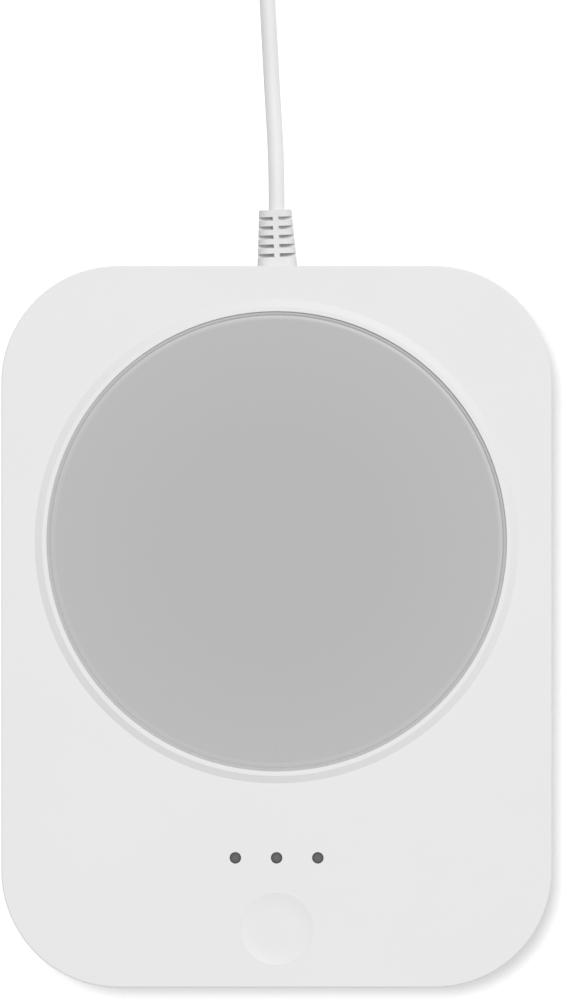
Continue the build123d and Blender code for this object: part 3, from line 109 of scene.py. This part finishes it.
camera = added("camera", bpy.data.cameras.new("camera"))
camera.data.lens = LENS
camera.data.sensor_width = SENSOR
camera.location = (*VIEW_MIDDLE, deck_z + VIEW_HEIGHT * LENS / SENSOR)
camera.data.clip_start = NEAREST
camera.data.clip_end = FURTHEST
bpy.context.scene.camera = camera
bpy.context.scene.view_settings.view_transform = "Standard"

# ---------------------------------------------------------------- cord
# One low-voltage cord: straight out of the relief, down to the table and back out of the view,
# then a tied coil of nearly eight turns in two layers, and over its own first run to the plug.
CORD_DIAMETER = 3.2 * MM
CORD_BEVEL_STEPS = 6
CORD_SPLINE_STEPS = 8
CORD_SPLINE_ORDER = 3
cord_route = [
    (0, 83.6, 6.5),
    (0, 90.4, 6.5),
    (-0.3, 98.2, 4.4),
    (-0.85, 107.0, 2.2),
    (-1.4, 117.4, 1.65),
    (-1.85, 125.8, 1.65),
    (-2.25, 133.2, 1.65),
    (-2.5, 139.4, 1.65),
    (-2.6, 143.8, 2.15),
    (-2.6, 148.0, 2.15),
]
tail_route = [
    (-12.55, 138.05, 5.45),
    (-6.0, 138.05, 5.45),
    (0.4, 138.9, 5.1),
    (6.6, 140.4, 4.0),
    (12.2, 142.0, 4.0),
]
COIL_MIDDLE = (-26.55, 162.0)
COIL_COLUMNS = 4
COIL_PITCH = 3.3
COIL_INNER_RADIUS = 14.05
COIL_LOW_Z = 2.15
COIL_TURNS = 7.75
COIL_STEPS = 16
STEP_OVER = 1 / 6
INNER_SWING = 1.3


def smooth(share):
    """From 0 to 1 with no kink at either end."""
    share = min(1.0, max(0.0, share))
    return share * share * (3 - 2 * share)


def coil_place(turn):
    """The coil's radius and height after that many turns: inwards in the lower layer, up in the
    middle, and outwards in the upper one. The last part of a turn steps to the next place."""
    turn = min(COIL_TURNS, max(0.0, turn))
    whole = floor(turn)
    columns = [*range(COIL_COLUMNS - 1, -1, -1), *range(COIL_COLUMNS), COIL_COLUMNS - 1]
    layers = [0] * COIL_COLUMNS + [1] * (COIL_COLUMNS + 1)
    share = smooth((turn - whole - 1 + STEP_OVER) / STEP_OVER)
    column = columns[whole] + (columns[whole + 1] - columns[whole]) * share
    layer = layers[whole] + (layers[whole + 1] - layers[whole]) * share
    radius = COIL_INNER_RADIUS + column * COIL_PITCH
    if whole == COIL_COLUMNS - 1:
        radius -= INNER_SWING * sin(pi * share)
    return radius, COIL_LOW_Z + layer * COIL_PITCH


def coil_points():
    """Control points outside the turns, half a step off, so that the spline lies on the turns."""
    step = 2 * pi / COIL_STEPS
    points = []
    for k in range(-1, int(COIL_TURNS * COIL_STEPS) + 1):
        radius, z = coil_place((k + 0.5) / COIL_STEPS)
        outside = radius / cos(step / 2)
        angle = (k + 0.5) * step
        points.append(
            (COIL_MIDDLE[0] + outside * cos(angle), COIL_MIDDLE[1] + outside * sin(angle), z)
        )
    return points


def cord_curve(name, points, diameter):
    """A round cord on one NURBS spline with those control points, in millimetres. Its thickness
    is in the points' radius, which a curve's box takes in metres, and the bevel is one unit."""
    curve = bpy.data.curves.new(name, "CURVE")
    curve.dimensions = "3D"
    curve.bevel_depth = 1.0
    curve.bevel_resolution = CORD_BEVEL_STEPS
    curve.resolution_u = CORD_SPLINE_STEPS
    curve.use_fill_caps = True
    spline = curve.splines.new("NURBS")
    spline.points.add(len(points) - 1)
    for point, place in zip(spline.points, points):
        point.co = (*(Vector(place) * MM), 1)
        point.radius = diameter / 2
    spline.order_u = CORD_SPLINE_ORDER
    spline.use_endpoint_u = True
    return added(name, curve)


cord = cord_curve("supply_cord", [*cord_route, *coil_points(), *tail_route], CORD_DIAMETER)
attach(cord, "housing")
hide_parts("power_cord", "cord_coil", "cord_tail")


# ---------------------------------------------------------------- cord's tie
# A coated wire ribbon round the bundle, with its two ends twisted together.
TIE_ANGLE = radians(140)
TIE_WIDTH = 3.6 * MM
TIE_THICKNESS = 0.45 * MM
TIE_TWIST_LENGTH = 9 * MM
TIE_TWIST_TURNS = 2.5
TIE_TWIST_RADIUS = 0.9 * MM
TIE_TWIST_STEPS = 40
TIE_TWIST_ONSET = 6
TIE_CORNER_STEPS = 8
TIE_SOFT_EDGE = 0.1 * MM
TIE_SOFT_STEPS = 2


def add_ribbon(mesh, centres, across, out, width, thickness, closed):
    """A flat ribbon along the centres. across and out are its width's and thickness's directions
    at each centre."""
    rings = []
    for centre, side, up in zip(centres, across, out):
        corners = [(-1, -1), (1, -1), (1, 1), (-1, 1)]
        rings.append([
            mesh.verts.new(centre + side * (width / 2 * a) + up * (thickness / 2 * b))
            for a, b in corners
        ])
    pairs = list(zip(rings, rings[1:]))
    if closed:
        pairs.append((rings[-1], rings[0]))
    else:
        mesh.faces.new(rings[0])
        mesh.faces.new(list(reversed(rings[-1])))
    for first, second in pairs:
        for k in range(4):
            j = (k + 1) % 4
            mesh.faces.new([first[k], first[j], second[j], second[k]])


def cord_tie():
    """The ribbon's loop round the turns, and the twist of its ends outside the coil."""
    radial = Vector((cos(TIE_ANGLE), sin(TIE_ANGLE), 0))
    along = Vector((-sin(TIE_ANGLE), cos(TIE_ANGLE), 0))
    up = Vector((0, 0, 1))
    middle_radius = COIL_INNER_RADIUS + (COIL_COLUMNS - 1) / 2 * COIL_PITCH
    middle = Vector((*COIL_MIDDLE, 0)) * MM + radial * middle_radius * MM
    middle.z = (COIL_LOW_Z + COIL_PITCH / 2) * MM
    corner = CORD_DIAMETER / 2 + TIE_THICKNESS / 2
    half_width = (COIL_COLUMNS - 1) / 2 * COIL_PITCH * MM
    half_height = COIL_PITCH / 2 * MM
    mesh = bmesh.new()
    centres, outs = [], []
    for quarter, (a, b) in enumerate(((1, 1), (-1, 1), (-1, -1), (1, -1))):
        for k in range(TIE_CORNER_STEPS + 1):
            angle = (quarter + k / TIE_CORNER_STEPS) * pi / 2
            out = radial * cos(angle) + up * sin(angle)
            turning = middle + radial * (a * half_width) + up * (b * half_height)
            centres.append(turning + out * corner)
            outs.append(out)
    count = len(centres)
    add_ribbon(mesh, centres, [along] * count, outs, TIE_WIDTH, TIE_THICKNESS, closed=True)
    start = middle + radial * (half_width + corner + TIE_THICKNESS / 2)
    for phase in (0, pi):
        line, sides, normals = [], [], []
        for k in range(TIE_TWIST_STEPS + 1):
            share = k / TIE_TWIST_STEPS
            angle = phase + 2 * pi * TIE_TWIST_TURNS * share
            out = along * cos(angle) + up * sin(angle)
            reach = TIE_TWIST_RADIUS * smooth(share * TIE_TWIST_ONSET)
            line.append(start + radial * (TIE_TWIST_LENGTH * share) + out * reach)
            sides.append(along * -sin(angle) + up * cos(angle))
            normals.append(out)
        add_ribbon(mesh, line, sides, normals, TIE_WIDTH / 2, TIE_THICKNESS, closed=False)
    bmesh.ops.recalc_face_normals(mesh, faces=mesh.faces)
    made = added_mesh("coil_tie", mesh)
    bevel = made.modifiers.new("soft_edges", "BEVEL")
    bevel.width = TIE_SOFT_EDGE
    bevel.segments = TIE_SOFT_STEPS
    bevel.limit_method = "ANGLE"
    for face in made.data.polygons:
        face.use_smooth = True
    return made


tie = cord_tie()
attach(tie, "housing")
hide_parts("cord_tie")


# ---------------------------------------------------------------- seal, snap dome and wiper
# The ring round the plate, with a flank that rises from the plate's edge to the lip's wall. Its
# foot lies under the plate. It is pressed a little into both, as soft silicone is.
SEAL_STEPS = 384
SEAL_PRESS = 0.04 * MM
SEAL_FLANK_WIDTH = 0.3 * MM
SEAL_FLANK_DROP = 0.2 * MM
SEAL_FOOT_WIDTH = 2.6 * MM
SEAL_THICKNESS = 0.6 * MM
# The switch's dome is a thin cap, built at its rest shape; in the switch the plunger flattens it.
DOME_STEPS = 48
DOME_ARC_STEPS = 12
DOME_THICKNESS = 0.12 * MM
# A soft wiper in the key's hole closes the running clearance round the key against spills.
WIPER_STEPS = 192
WIPER_CLEARANCE = 0.003 * MM
WIPER_WIDTH = 0.057 * MM
WIPER_HEIGHT = 0.3 * MM
WIPER_SINK = 0.01 * MM
KEY_RADIUS = 7.2 * MM
# Points of a turned piece that lie closer than this are one.
MERGE_DISTANCE = 1e-7


def turned(name, section, middle, steps, smooth_faces=False):
    """A closed section of radius and height, turned round the upright line through middle."""
    mesh = bmesh.new()
    rings = []
    for k in range(steps):
        angle = 2 * pi * k / steps
        rings.append([
            mesh.verts.new((middle.x + r * cos(angle), middle.y + r * sin(angle), z))
            for r, z in section
        ])
    for first, second in zip(rings, [*rings[1:], rings[0]]):
        for k in range(len(section)):
            j = (k + 1) % len(section)
            if max(section[k][0], section[j][0]) > 0:
                mesh.faces.new([first[k], first[j], second[j], second[k]])
    bmesh.ops.remove_doubles(mesh, verts=mesh.verts, dist=MERGE_DISTANCE)
    bmesh.ops.recalc_face_normals(mesh, faces=mesh.faces)
    made = added_mesh(name, mesh)
    for face in made.data.polygons:
        face.use_smooth = smooth_faces
    return made


def seal_section():
    """The seal's foot under the plate, its upstand and the flank at the plate's edge."""
    low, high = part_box("plate_seal")
    outer = (high.x - low.x) / 2 + SEAL_PRESS
    inner = plate_radius - SEAL_PRESS
    foot = plate_radius - SEAL_FOOT_WIDTH
    return [
        (foot, low.z),
        (outer, low.z),
        (outer, high.z),
        (plate_radius + SEAL_FLANK_WIDTH, high.z),
        (inner, high.z - SEAL_FLANK_DROP),
        (inner, low.z + SEAL_THICKNESS),
        (foot, low.z + SEAL_THICKNESS),
    ]


def dome_arc(foot_radius, low_z, high_z):
    """An arc from the foot to the top, round a centre on the dome's upright line."""
    height = high_z - low_z
    sphere_radius = (foot_radius**2 + height**2) / (2 * height)
    centre_z = high_z - sphere_radius
    foot_angle = atan2(foot_radius, low_z - centre_z)
    angles = [foot_angle * (1 - k / DOME_ARC_STEPS) for k in range(DOME_ARC_STEPS + 1)]
    return [(sphere_radius * sin(a), centre_z + sphere_radius * cos(a)) for a in angles]


seal = turned("seal_ring", seal_section(), plate_middle, SEAL_STEPS)
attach(seal, "housing")
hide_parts("plate_seal")

dome_low, dome_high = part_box("switch_dome")
dome_middle = (dome_low + dome_high) / 2
dome_radius = dome_high.x
outside = dome_arc(dome_radius, dome_low.z, dome_high.z)
inside = dome_arc(dome_radius - DOME_THICKNESS, dome_low.z, dome_high.z - DOME_THICKNESS)
dome = turned(
    "snap_dome", [*outside, *reversed(inside)], dome_middle, DOME_STEPS, smooth_faces=True
)
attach(dome, "housing")
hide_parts("switch_dome")
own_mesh(dome)

key_low, key_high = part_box("mode_key")
key_middle = (key_low + key_high) / 2
wiper_inner = KEY_RADIUS + WIPER_CLEARANCE
wiper_outer = wiper_inner + WIPER_WIDTH
wiper_top = key_high.z - WIPER_SINK
wiper = turned(
    "key_wiper",
    [
        (wiper_inner, wiper_top - WIPER_HEIGHT),
        (wiper_outer, wiper_top - WIPER_HEIGHT),
        (wiper_outer, wiper_top),
        (wiper_inner, wiper_top),
    ],
    key_middle,
    WIPER_STEPS,
)
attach(wiper, "housing")


# ---------------------------------------------------------------- materials
# Noise mostly lies between these values. The mix node's sockets go by number, because its colour
# sockets share their names with others.
NOISE_LOW, NOISE_HIGH = 0.3, 0.7
MIX_SHARE, MIX_FIRST, MIX_SECOND, MIX_RESULT = 0, 6, 7, 2
ROUGHNESS_SPREAD = 0.06
SHEEN_ROUGHNESS = 0.6


def feed(tree, socket, value):
    """Links the socket to another one, or gives it a plain value."""
    if isinstance(value, bpy.types.NodeSocket):
        tree.links.new(value, socket)
    else:
        socket.default_value = value


def new_material(name):
    """An empty node material, its principled shader and a way to add nodes to it."""
    material = bpy.data.materials.new(name)
    material.use_nodes = True
    tree = material.node_tree
    shader = tree.nodes["Principled BSDF"]

    def add(kind, **inputs):
        node = tree.nodes.new(kind)
        for key, value in inputs.items():
            feed(tree, node.inputs[key.replace("_", " ")], value)
        return node

    return material, tree, shader, add


def grey(level):
    """A neutral colour of that linear level."""
    return (level, level, level, 1)


def noise(add, place, size, detail=3.0, roughness=0.5):
    """Noise whose grains are about that size, in metres."""
    return add(
        "ShaderNodeTexNoise", Vector=place, Scale=1 / size, Detail=detail, Roughness=roughness
    )


def spread_over(add, value, low, high):
    """The noise's middle range spread from low to high."""
    node = add("ShaderNodeMapRange", Value=value, To_Min=low, To_Max=high)
    node.inputs["From Min"].default_value = NOISE_LOW
    node.inputs["From Max"].default_value = NOISE_HIGH
    return node.outputs["Result"]


def mixed(tree, share, first, second, blend="MIX"):
    """Two colours mixed by that share."""
    mix = tree.nodes.new("ShaderNodeMix")
    mix.data_type = "RGBA"
    mix.blend_type = blend
    for number, value in ((MIX_SHARE, share), (MIX_FIRST, first), (MIX_SECOND, second)):
        feed(tree, mix.inputs[number], value)
    return mix.outputs[MIX_RESULT]


def grey_ramp(add, share, tones):
    """A ramp of greys over that share, from pairs of place and level."""
    node = add("ShaderNodeValToRGB", Fac=share)
    elements = node.color_ramp.elements
    (start, start_level), *between, (end, end_level) = tones
    elements[0].position, elements[0].color = start, grey(start_level)
    elements[1].position, elements[1].color = end, grey(end_level)
    for position, level in between:
        elements.new(position).color = grey(level)
    return node.outputs["Color"]


def moulded(
    name,
    colour,
    roughness=0.5,
    mottle=0.02,
    mottle_size=6 * MM,
    grain=0.35 * MM,
    grain_depth=0.006 * MM,
    metallic=0.0,
    sheen=0.0,
    stretch=(1, 1, 1),
):
    """A moulded, coated or metal surface: a slightly uneven tone, a fine grain that stands out in
    the surface, and a roughness that varies with it."""
    material, tree, shader, add = new_material(name)
    place = add("ShaderNodeTexCoord").outputs["Object"]
    mapping = add("ShaderNodeMapping", Vector=place, Scale=stretch)
    place = mapping.outputs["Vector"]
    tone = noise(add, place, mottle_size, detail=4.0)
    low = [c * (1 - mottle) for c in colour[:3]]
    high = [min(1.0, c * (1 + mottle)) for c in colour[:3]]
    share = spread_over(add, tone.outputs["Fac"], 0.0, 1.0)
    feed(tree, shader.inputs["Base Color"], mixed(tree, share, (*low, 1), (*high, 1)))
    fine = noise(add, place, grain, detail=5.0, roughness=0.6)
    level = spread_over(
        add, fine.outputs["Fac"], roughness - ROUGHNESS_SPREAD, roughness + ROUGHNESS_SPREAD
    )
    tree.links.new(level, shader.inputs["Roughness"])
    bump = add("ShaderNodeBump", Height=fine.outputs["Fac"], Distance=grain_depth, Strength=1.0)
    tree.links.new(bump.outputs["Normal"], shader.inputs["Normal"])
    shader.inputs["Metallic"].default_value = metallic
    shader.inputs["Sheen Weight"].default_value = sheen
    shader.inputs["Sheen Roughness"].default_value = SHEEN_ROUGHNESS
    return material


def plate_coat_and_highlight(name, colour, rim_highlight_colour):
    """The plate's matt coating, with a fine speckle. It is painted paler towards the rim, and most
    of all on the bevel: a painted highlight."""
    material, tree, shader, add = new_material(name)
    place = add("ShaderNodeTexCoord").outputs["Object"]
    from_middle = tree.nodes.new("ShaderNodeVectorMath")
    from_middle.operation = "DISTANCE"
    flat = add("ShaderNodeMapping", Vector=place, Scale=(1, 1, 0))
    tree.links.new(flat.outputs["Vector"], from_middle.inputs[0])
    from_middle.inputs[1].default_value = (plate_middle.x, plate_middle.y, 0)
    share = add("ShaderNodeMapRange", Value=from_middle.outputs["Value"])
    share.inputs["From Max"].default_value = plate_radius
    tones = (
        (PLATE_RAMP_START, colour),
        (PLATE_BEVEL_START, colour + PLATE_RIM_HIGHLIGHT_SHARE * (rim_highlight_colour - colour)),
        (PLATE_BEVEL_END, rim_highlight_colour),
    )
    # Painted highlight: the grey turns paler towards the rim and on the bevel.
    coat_with_highlight = grey_ramp(add, share.outputs["Result"], tones)
    speckle = noise(add, place, PLATE_SPECKLE, roughness=0.7).outputs["Fac"]
    tint = spread_over(add, speckle, 1 - PLATE_SPECKLE_DEPTH, 1 + PLATE_SPECKLE_DEPTH)
    feed(tree, shader.inputs["Base Color"], mixed(tree, 1.0, coat_with_highlight, tint, "MULTIPLY"))
    feed(tree, shader.inputs["Roughness"], spread_over(add, speckle, *PLATE_ROUGHNESS))
    bump = add("ShaderNodeBump", Height=speckle, Distance=PLATE_SPECKLE_RELIEF, Strength=1.0)
    feed(tree, shader.inputs["Normal"], bump.outputs["Normal"])
    return material


def smoked_window(name):
    """Smoked clear plastic at the tops of the light pipe, darker towards each window's rim and
    paler in its middle."""
    material, tree, shader, add = new_material(name)

    def math(operation, first, second=0.0, third=0.0):
        node = tree.nodes.new("ShaderNodeMath")
        node.operation = operation
        for socket, value in zip(node.inputs, (first, second, third)):
            feed(tree, socket, value)
        return node.outputs["Value"]

    place = add("ShaderNodeTexCoord").outputs["Object"]
    parts = add("ShaderNodeSeparateXYZ", Vector=place)
    x = math("WRAP", parts.outputs["X"], WINDOW_PITCH / 2, -WINDOW_PITCH / 2)
    y = math("SUBTRACT", parts.outputs["Y"], window_y)
    squares = math("ADD", math("MULTIPLY", x, x), math("MULTIPLY", y, y))
    share = math("DIVIDE", math("SQRT", squares), WINDOW_RADIUS)
    smoke = grey_ramp(add, share, WINDOW_TONES)
    cloud = noise(add, place, WINDOW_CLOUD, detail=2.0)
    colour = mixed(tree, WINDOW_CLOUD_SHARE, smoke, cloud.outputs["Color"], "MULTIPLY")
    feed(tree, shader.inputs["Base Color"], colour)
    level = spread_over(add, cloud.outputs["Fac"], *WINDOW_ROUGHNESS)
    feed(tree, shader.inputs["Roughness"], level)
    return material


materials = {
    "shell_white": moulded("shell_white", grey(0.762), 0.46, mottle=0.006, mottle_size=25 * MM),
    "base_white": moulded("base_white", grey(0.76), 0.5, mottle=0.008, mottle_size=20 * MM),
    "key_white": moulded("key_white", grey(0.762), 0.44, mottle=0.006, mottle_size=25 * MM),
    # The plate's grey, and the paler grey of its painted rim highlight.
    "plate_grey": plate_coat_and_highlight("plate_grey", 0.424, 0.54),
    "seal_grey": moulded("seal_grey", grey(0.47), 0.6, mottle=0.02, mottle_size=3 * MM),
    "film_amber": moulded("film_amber", (0.55, 0.26, 0.05, 1), 0.3, grain=0.8 * MM),
    "insulation_cream": moulded(
        "insulation_cream", (0.72, 0.68, 0.58, 1), 0.9, mottle=0.1, mottle_size=1 * MM
    ),
    "retainer_steel": moulded(
        "retainer_steel", (0.6, 0.6, 0.61, 1), 0.38, metallic=1.0, stretch=(1, 0.06, 1)
    ),
    "screw_steel": moulded("screw_steel", (0.58, 0.58, 0.6, 1), 0.32, metallic=1.0),
    "sensor_glass": moulded("sensor_glass", (0.45, 0.18, 0.06, 1), 0.15),
    "fuse_metal": moulded("fuse_metal", (0.72, 0.71, 0.68, 1), 0.3, metallic=1.0),
    "window_smoke": smoked_window("window_smoke"),
    "board_green": moulded(
        "board_green", (0.03, 0.2, 0.08, 1), 0.35, mottle=0.1, mottle_size=2 * MM
    ),
    "chip_black": moulded("chip_black", grey(0.03), 0.6, mottle=0.1, mottle_size=1 * MM),
    "can_metal": moulded("can_metal", (0.72, 0.72, 0.74, 1), 0.3, metallic=1.0),
    "header_white": moulded("header_white", (0.8, 0.78, 0.72, 1), 0.45),
    "led_cream": moulded("led_cream", (0.85, 0.83, 0.68, 1), 0.25),
    "switch_black": moulded("switch_black", grey(0.035), 0.5),
    "switch_metal": moulded("switch_metal", (0.66, 0.66, 0.67, 1), 0.3, metallic=1.0),
    "foot_rubber": moulded(
        "foot_rubber", grey(0.62), 0.85, mottle=0.03, mottle_size=2 * MM, grain_depth=0.012 * MM
    ),
    "cord_white": moulded(
        "cord_white", grey(0.785), 0.6, mottle=0.012, mottle_size=8 * MM, sheen=0.45
    ),
    "wire_red": moulded("wire_red", (0.5, 0.04, 0.03, 1), 0.4),
    "wire_white": moulded("wire_white", grey(0.75), 0.5),
    "wire_blue": moulded("wire_blue", (0.05, 0.12, 0.42, 1), 0.4),
    "tie_white": moulded("tie_white", grey(0.74), 0.5, mottle=0.02, mottle_size=2 * MM),
    "plug_white": moulded("plug_white", grey(0.76), 0.45, mottle=0.01, mottle_size=6 * MM),
    "plug_metal": moulded(
        "plug_metal",
        (0.56, 0.56, 0.58, 1),
        0.22,
        metallic=1.0,
        grain=0.5 * MM,
        stretch=(1, 0.1, 1),
    ),
    "plug_insert": moulded("plug_insert", grey(0.82), 0.45),
    "contact_gold": moulded("contact_gold", (0.8, 0.56, 0.2, 1), 0.25, metallic=1.0),
}

slots = {part["node"]: part["material_slot"] for part in frame["record"]["subparts"]}
for name, node in nodes.items():
    node.data.materials.clear()
    node.data.materials.append(materials[slots[name]])
# Painted shade: the relief takes a darker copy of the cord's white, which tones down the lamp's
# light on its slopes. It is also a little rougher.
nodes["strain_relief"].data.materials[0] = moulded(
    "relief_white_painted_shade", grey(0.71), 0.62, mottle=0.015, mottle_size=3 * MM, grain_depth=0.01 * MM
)
scene_pieces = (
    (cord, "cord_white"),
    (tie, "tie_white"),
    (seal, "seal_grey"),
    (dome, "switch_metal"),
    (wiper, "shell_white"),
)
for piece, slot in scene_pieces:
    piece.data.materials.append(materials[slot])

# ---------------------------------------------------------------- floor and light
# The floor is white to the camera, and keeps the object's shadow.
FLOOR_SIDE = 6.0
FLOOR_Z = -0.05 * MM
FLOOR_SEGMENTS = 8
FLOOR_PLAIN = 0.8
FLOOR_OWN_LIGHT = 0.42
FLOOR_SHADED = 0.66
WORLD_STRENGTH = 0.4
LAMP_SHARE = 0.6
LAMP_AZIMUTH = radians(64)
LAMP_ELEVATION = radians(67)
LAMP_ANGLE = radians(20)
FLOOR_LAMP_AZIMUTH = radians(130)
FLOOR_LAMP_ELEVATION = radians(80.7)
FLOOR_LAMP_ANGLE = radians(12)


def seen_ray(tree):
    """1 for a ray from the camera, or one that a glossy or clear surface sends on."""
    paths = tree.nodes.new("ShaderNodeLightPath")
    value = paths.outputs["Is Camera Ray"]
    for name in ("Is Glossy Ray", "Is Transmission Ray"):
        node = tree.nodes.new("ShaderNodeMath")
        node.operation = "MAXIMUM"
        tree.links.new(value, node.inputs[0])
        tree.links.new(paths.outputs[name], node.inputs[1])
        value = node.outputs["Value"]
    return value


def floor_material():
    """A pale matt floor. To the camera it is a white of its own and a part that takes shadow."""
    material = bpy.data.materials.new("floor")
    material.use_nodes = True
    tree = material.node_tree
    tree.nodes.remove(tree.nodes["Principled BSDF"])
    plain = tree.nodes.new("ShaderNodeBsdfDiffuse")
    plain.inputs["Color"].default_value = grey(FLOOR_PLAIN)
    shaded = tree.nodes.new("ShaderNodeBsdfDiffuse")
    shaded.inputs["Color"].default_value = grey(FLOOR_SHADED)
    own = tree.nodes.new("ShaderNodeEmission")
    own.inputs["Strength"].default_value = FLOOR_OWN_LIGHT
    white = tree.nodes.new("ShaderNodeAddShader")
    tree.links.new(shaded.outputs["BSDF"], white.inputs[0])
    tree.links.new(own.outputs["Emission"], white.inputs[1])
    mix = tree.nodes.new("ShaderNodeMixShader")
    tree.links.new(seen_ray(tree), mix.inputs["Fac"])
    tree.links.new(plain.outputs["BSDF"], mix.inputs[1])
    tree.links.new(white.outputs["Shader"], mix.inputs[2])
    tree.links.new(mix.outputs["Shader"], tree.nodes["Material Output"].inputs["Surface"])
    return material


def make_floor():
    """A flat floor under the object."""
    mesh = bmesh.new()
    bmesh.ops.create_grid(
        mesh, x_segments=FLOOR_SEGMENTS, y_segments=FLOOR_SEGMENTS, size=FLOOR_SIDE / 2
    )
    made = added_mesh("floor", mesh)
    made.location.z = FLOOR_Z
    made.data.materials.append(floor_material())
    return made


def make_world():
    """An even white surround, dimmer on the object than to the camera."""
    world = bpy.data.worlds.new("surround")
    bpy.context.scene.world = world
    world.use_nodes = True
    tree = world.node_tree
    background = tree.nodes["Background"]
    background.inputs["Color"].default_value = grey(1.0)
    strength = tree.nodes.new("ShaderNodeMapRange")
    strength.inputs["To Min"].default_value = WORLD_STRENGTH
    strength.inputs["To Max"].default_value = 1.0
    tree.links.new(seen_ray(tree), strength.inputs["Value"])
    tree.links.new(strength.outputs["Result"], background.inputs["Strength"])


def direction(azimuth, elevation):
    """The unit vector towards a lamp."""
    flat = cos(elevation)
    return Vector((cos(azimuth) * flat, sin(azimuth) * flat, sin(elevation)))


def add_lamp(name, azimuth, elevation, angle):
    """A distant soft lamp in that direction, which gives a level floor its share of light."""
    lamp = added(name, bpy.data.lights.new(name, "SUN"))
    way = direction(azimuth, elevation)
    lamp.location = way
    lamp.rotation_mode = "QUATERNION"
    lamp.rotation_quaternion = way.to_track_quat("Z", "Y")
    lamp.data.angle = angle
    lamp.data.energy = LAMP_SHARE * pi / sin(elevation)
    return lamp


def linked_group(name, pieces, state):
    """A collection for light linking, with each piece in or out."""
    group = bpy.data.collections.new(name)
    for piece in pieces:
        group.objects.link(piece)
    for member in group.collection_objects:
        member.light_linking.link_state = state
    return group


floor_piece = make_floor()
make_world()

main_lamp = add_lamp("main_lamp", LAMP_AZIMUTH, LAMP_ELEVATION, LAMP_ANGLE)
main_lamp.light_linking.receiver_collection = linked_group("not_floor", [floor_piece], "EXCLUDE")
floor_lamp = add_lamp("floor_lamp", FLOOR_LAMP_AZIMUTH, FLOOR_LAMP_ELEVATION, FLOOR_LAMP_ANGLE)
floor_lamp.light_linking.receiver_collection = linked_group("floor_only", [floor_piece], "INCLUDE")
floor_lamp.light_linking.blocker_collection = linked_group(
    "without_cord", [nodes["strain_relief"], nodes["lead_cord"], cord], "EXCLUDE"
)
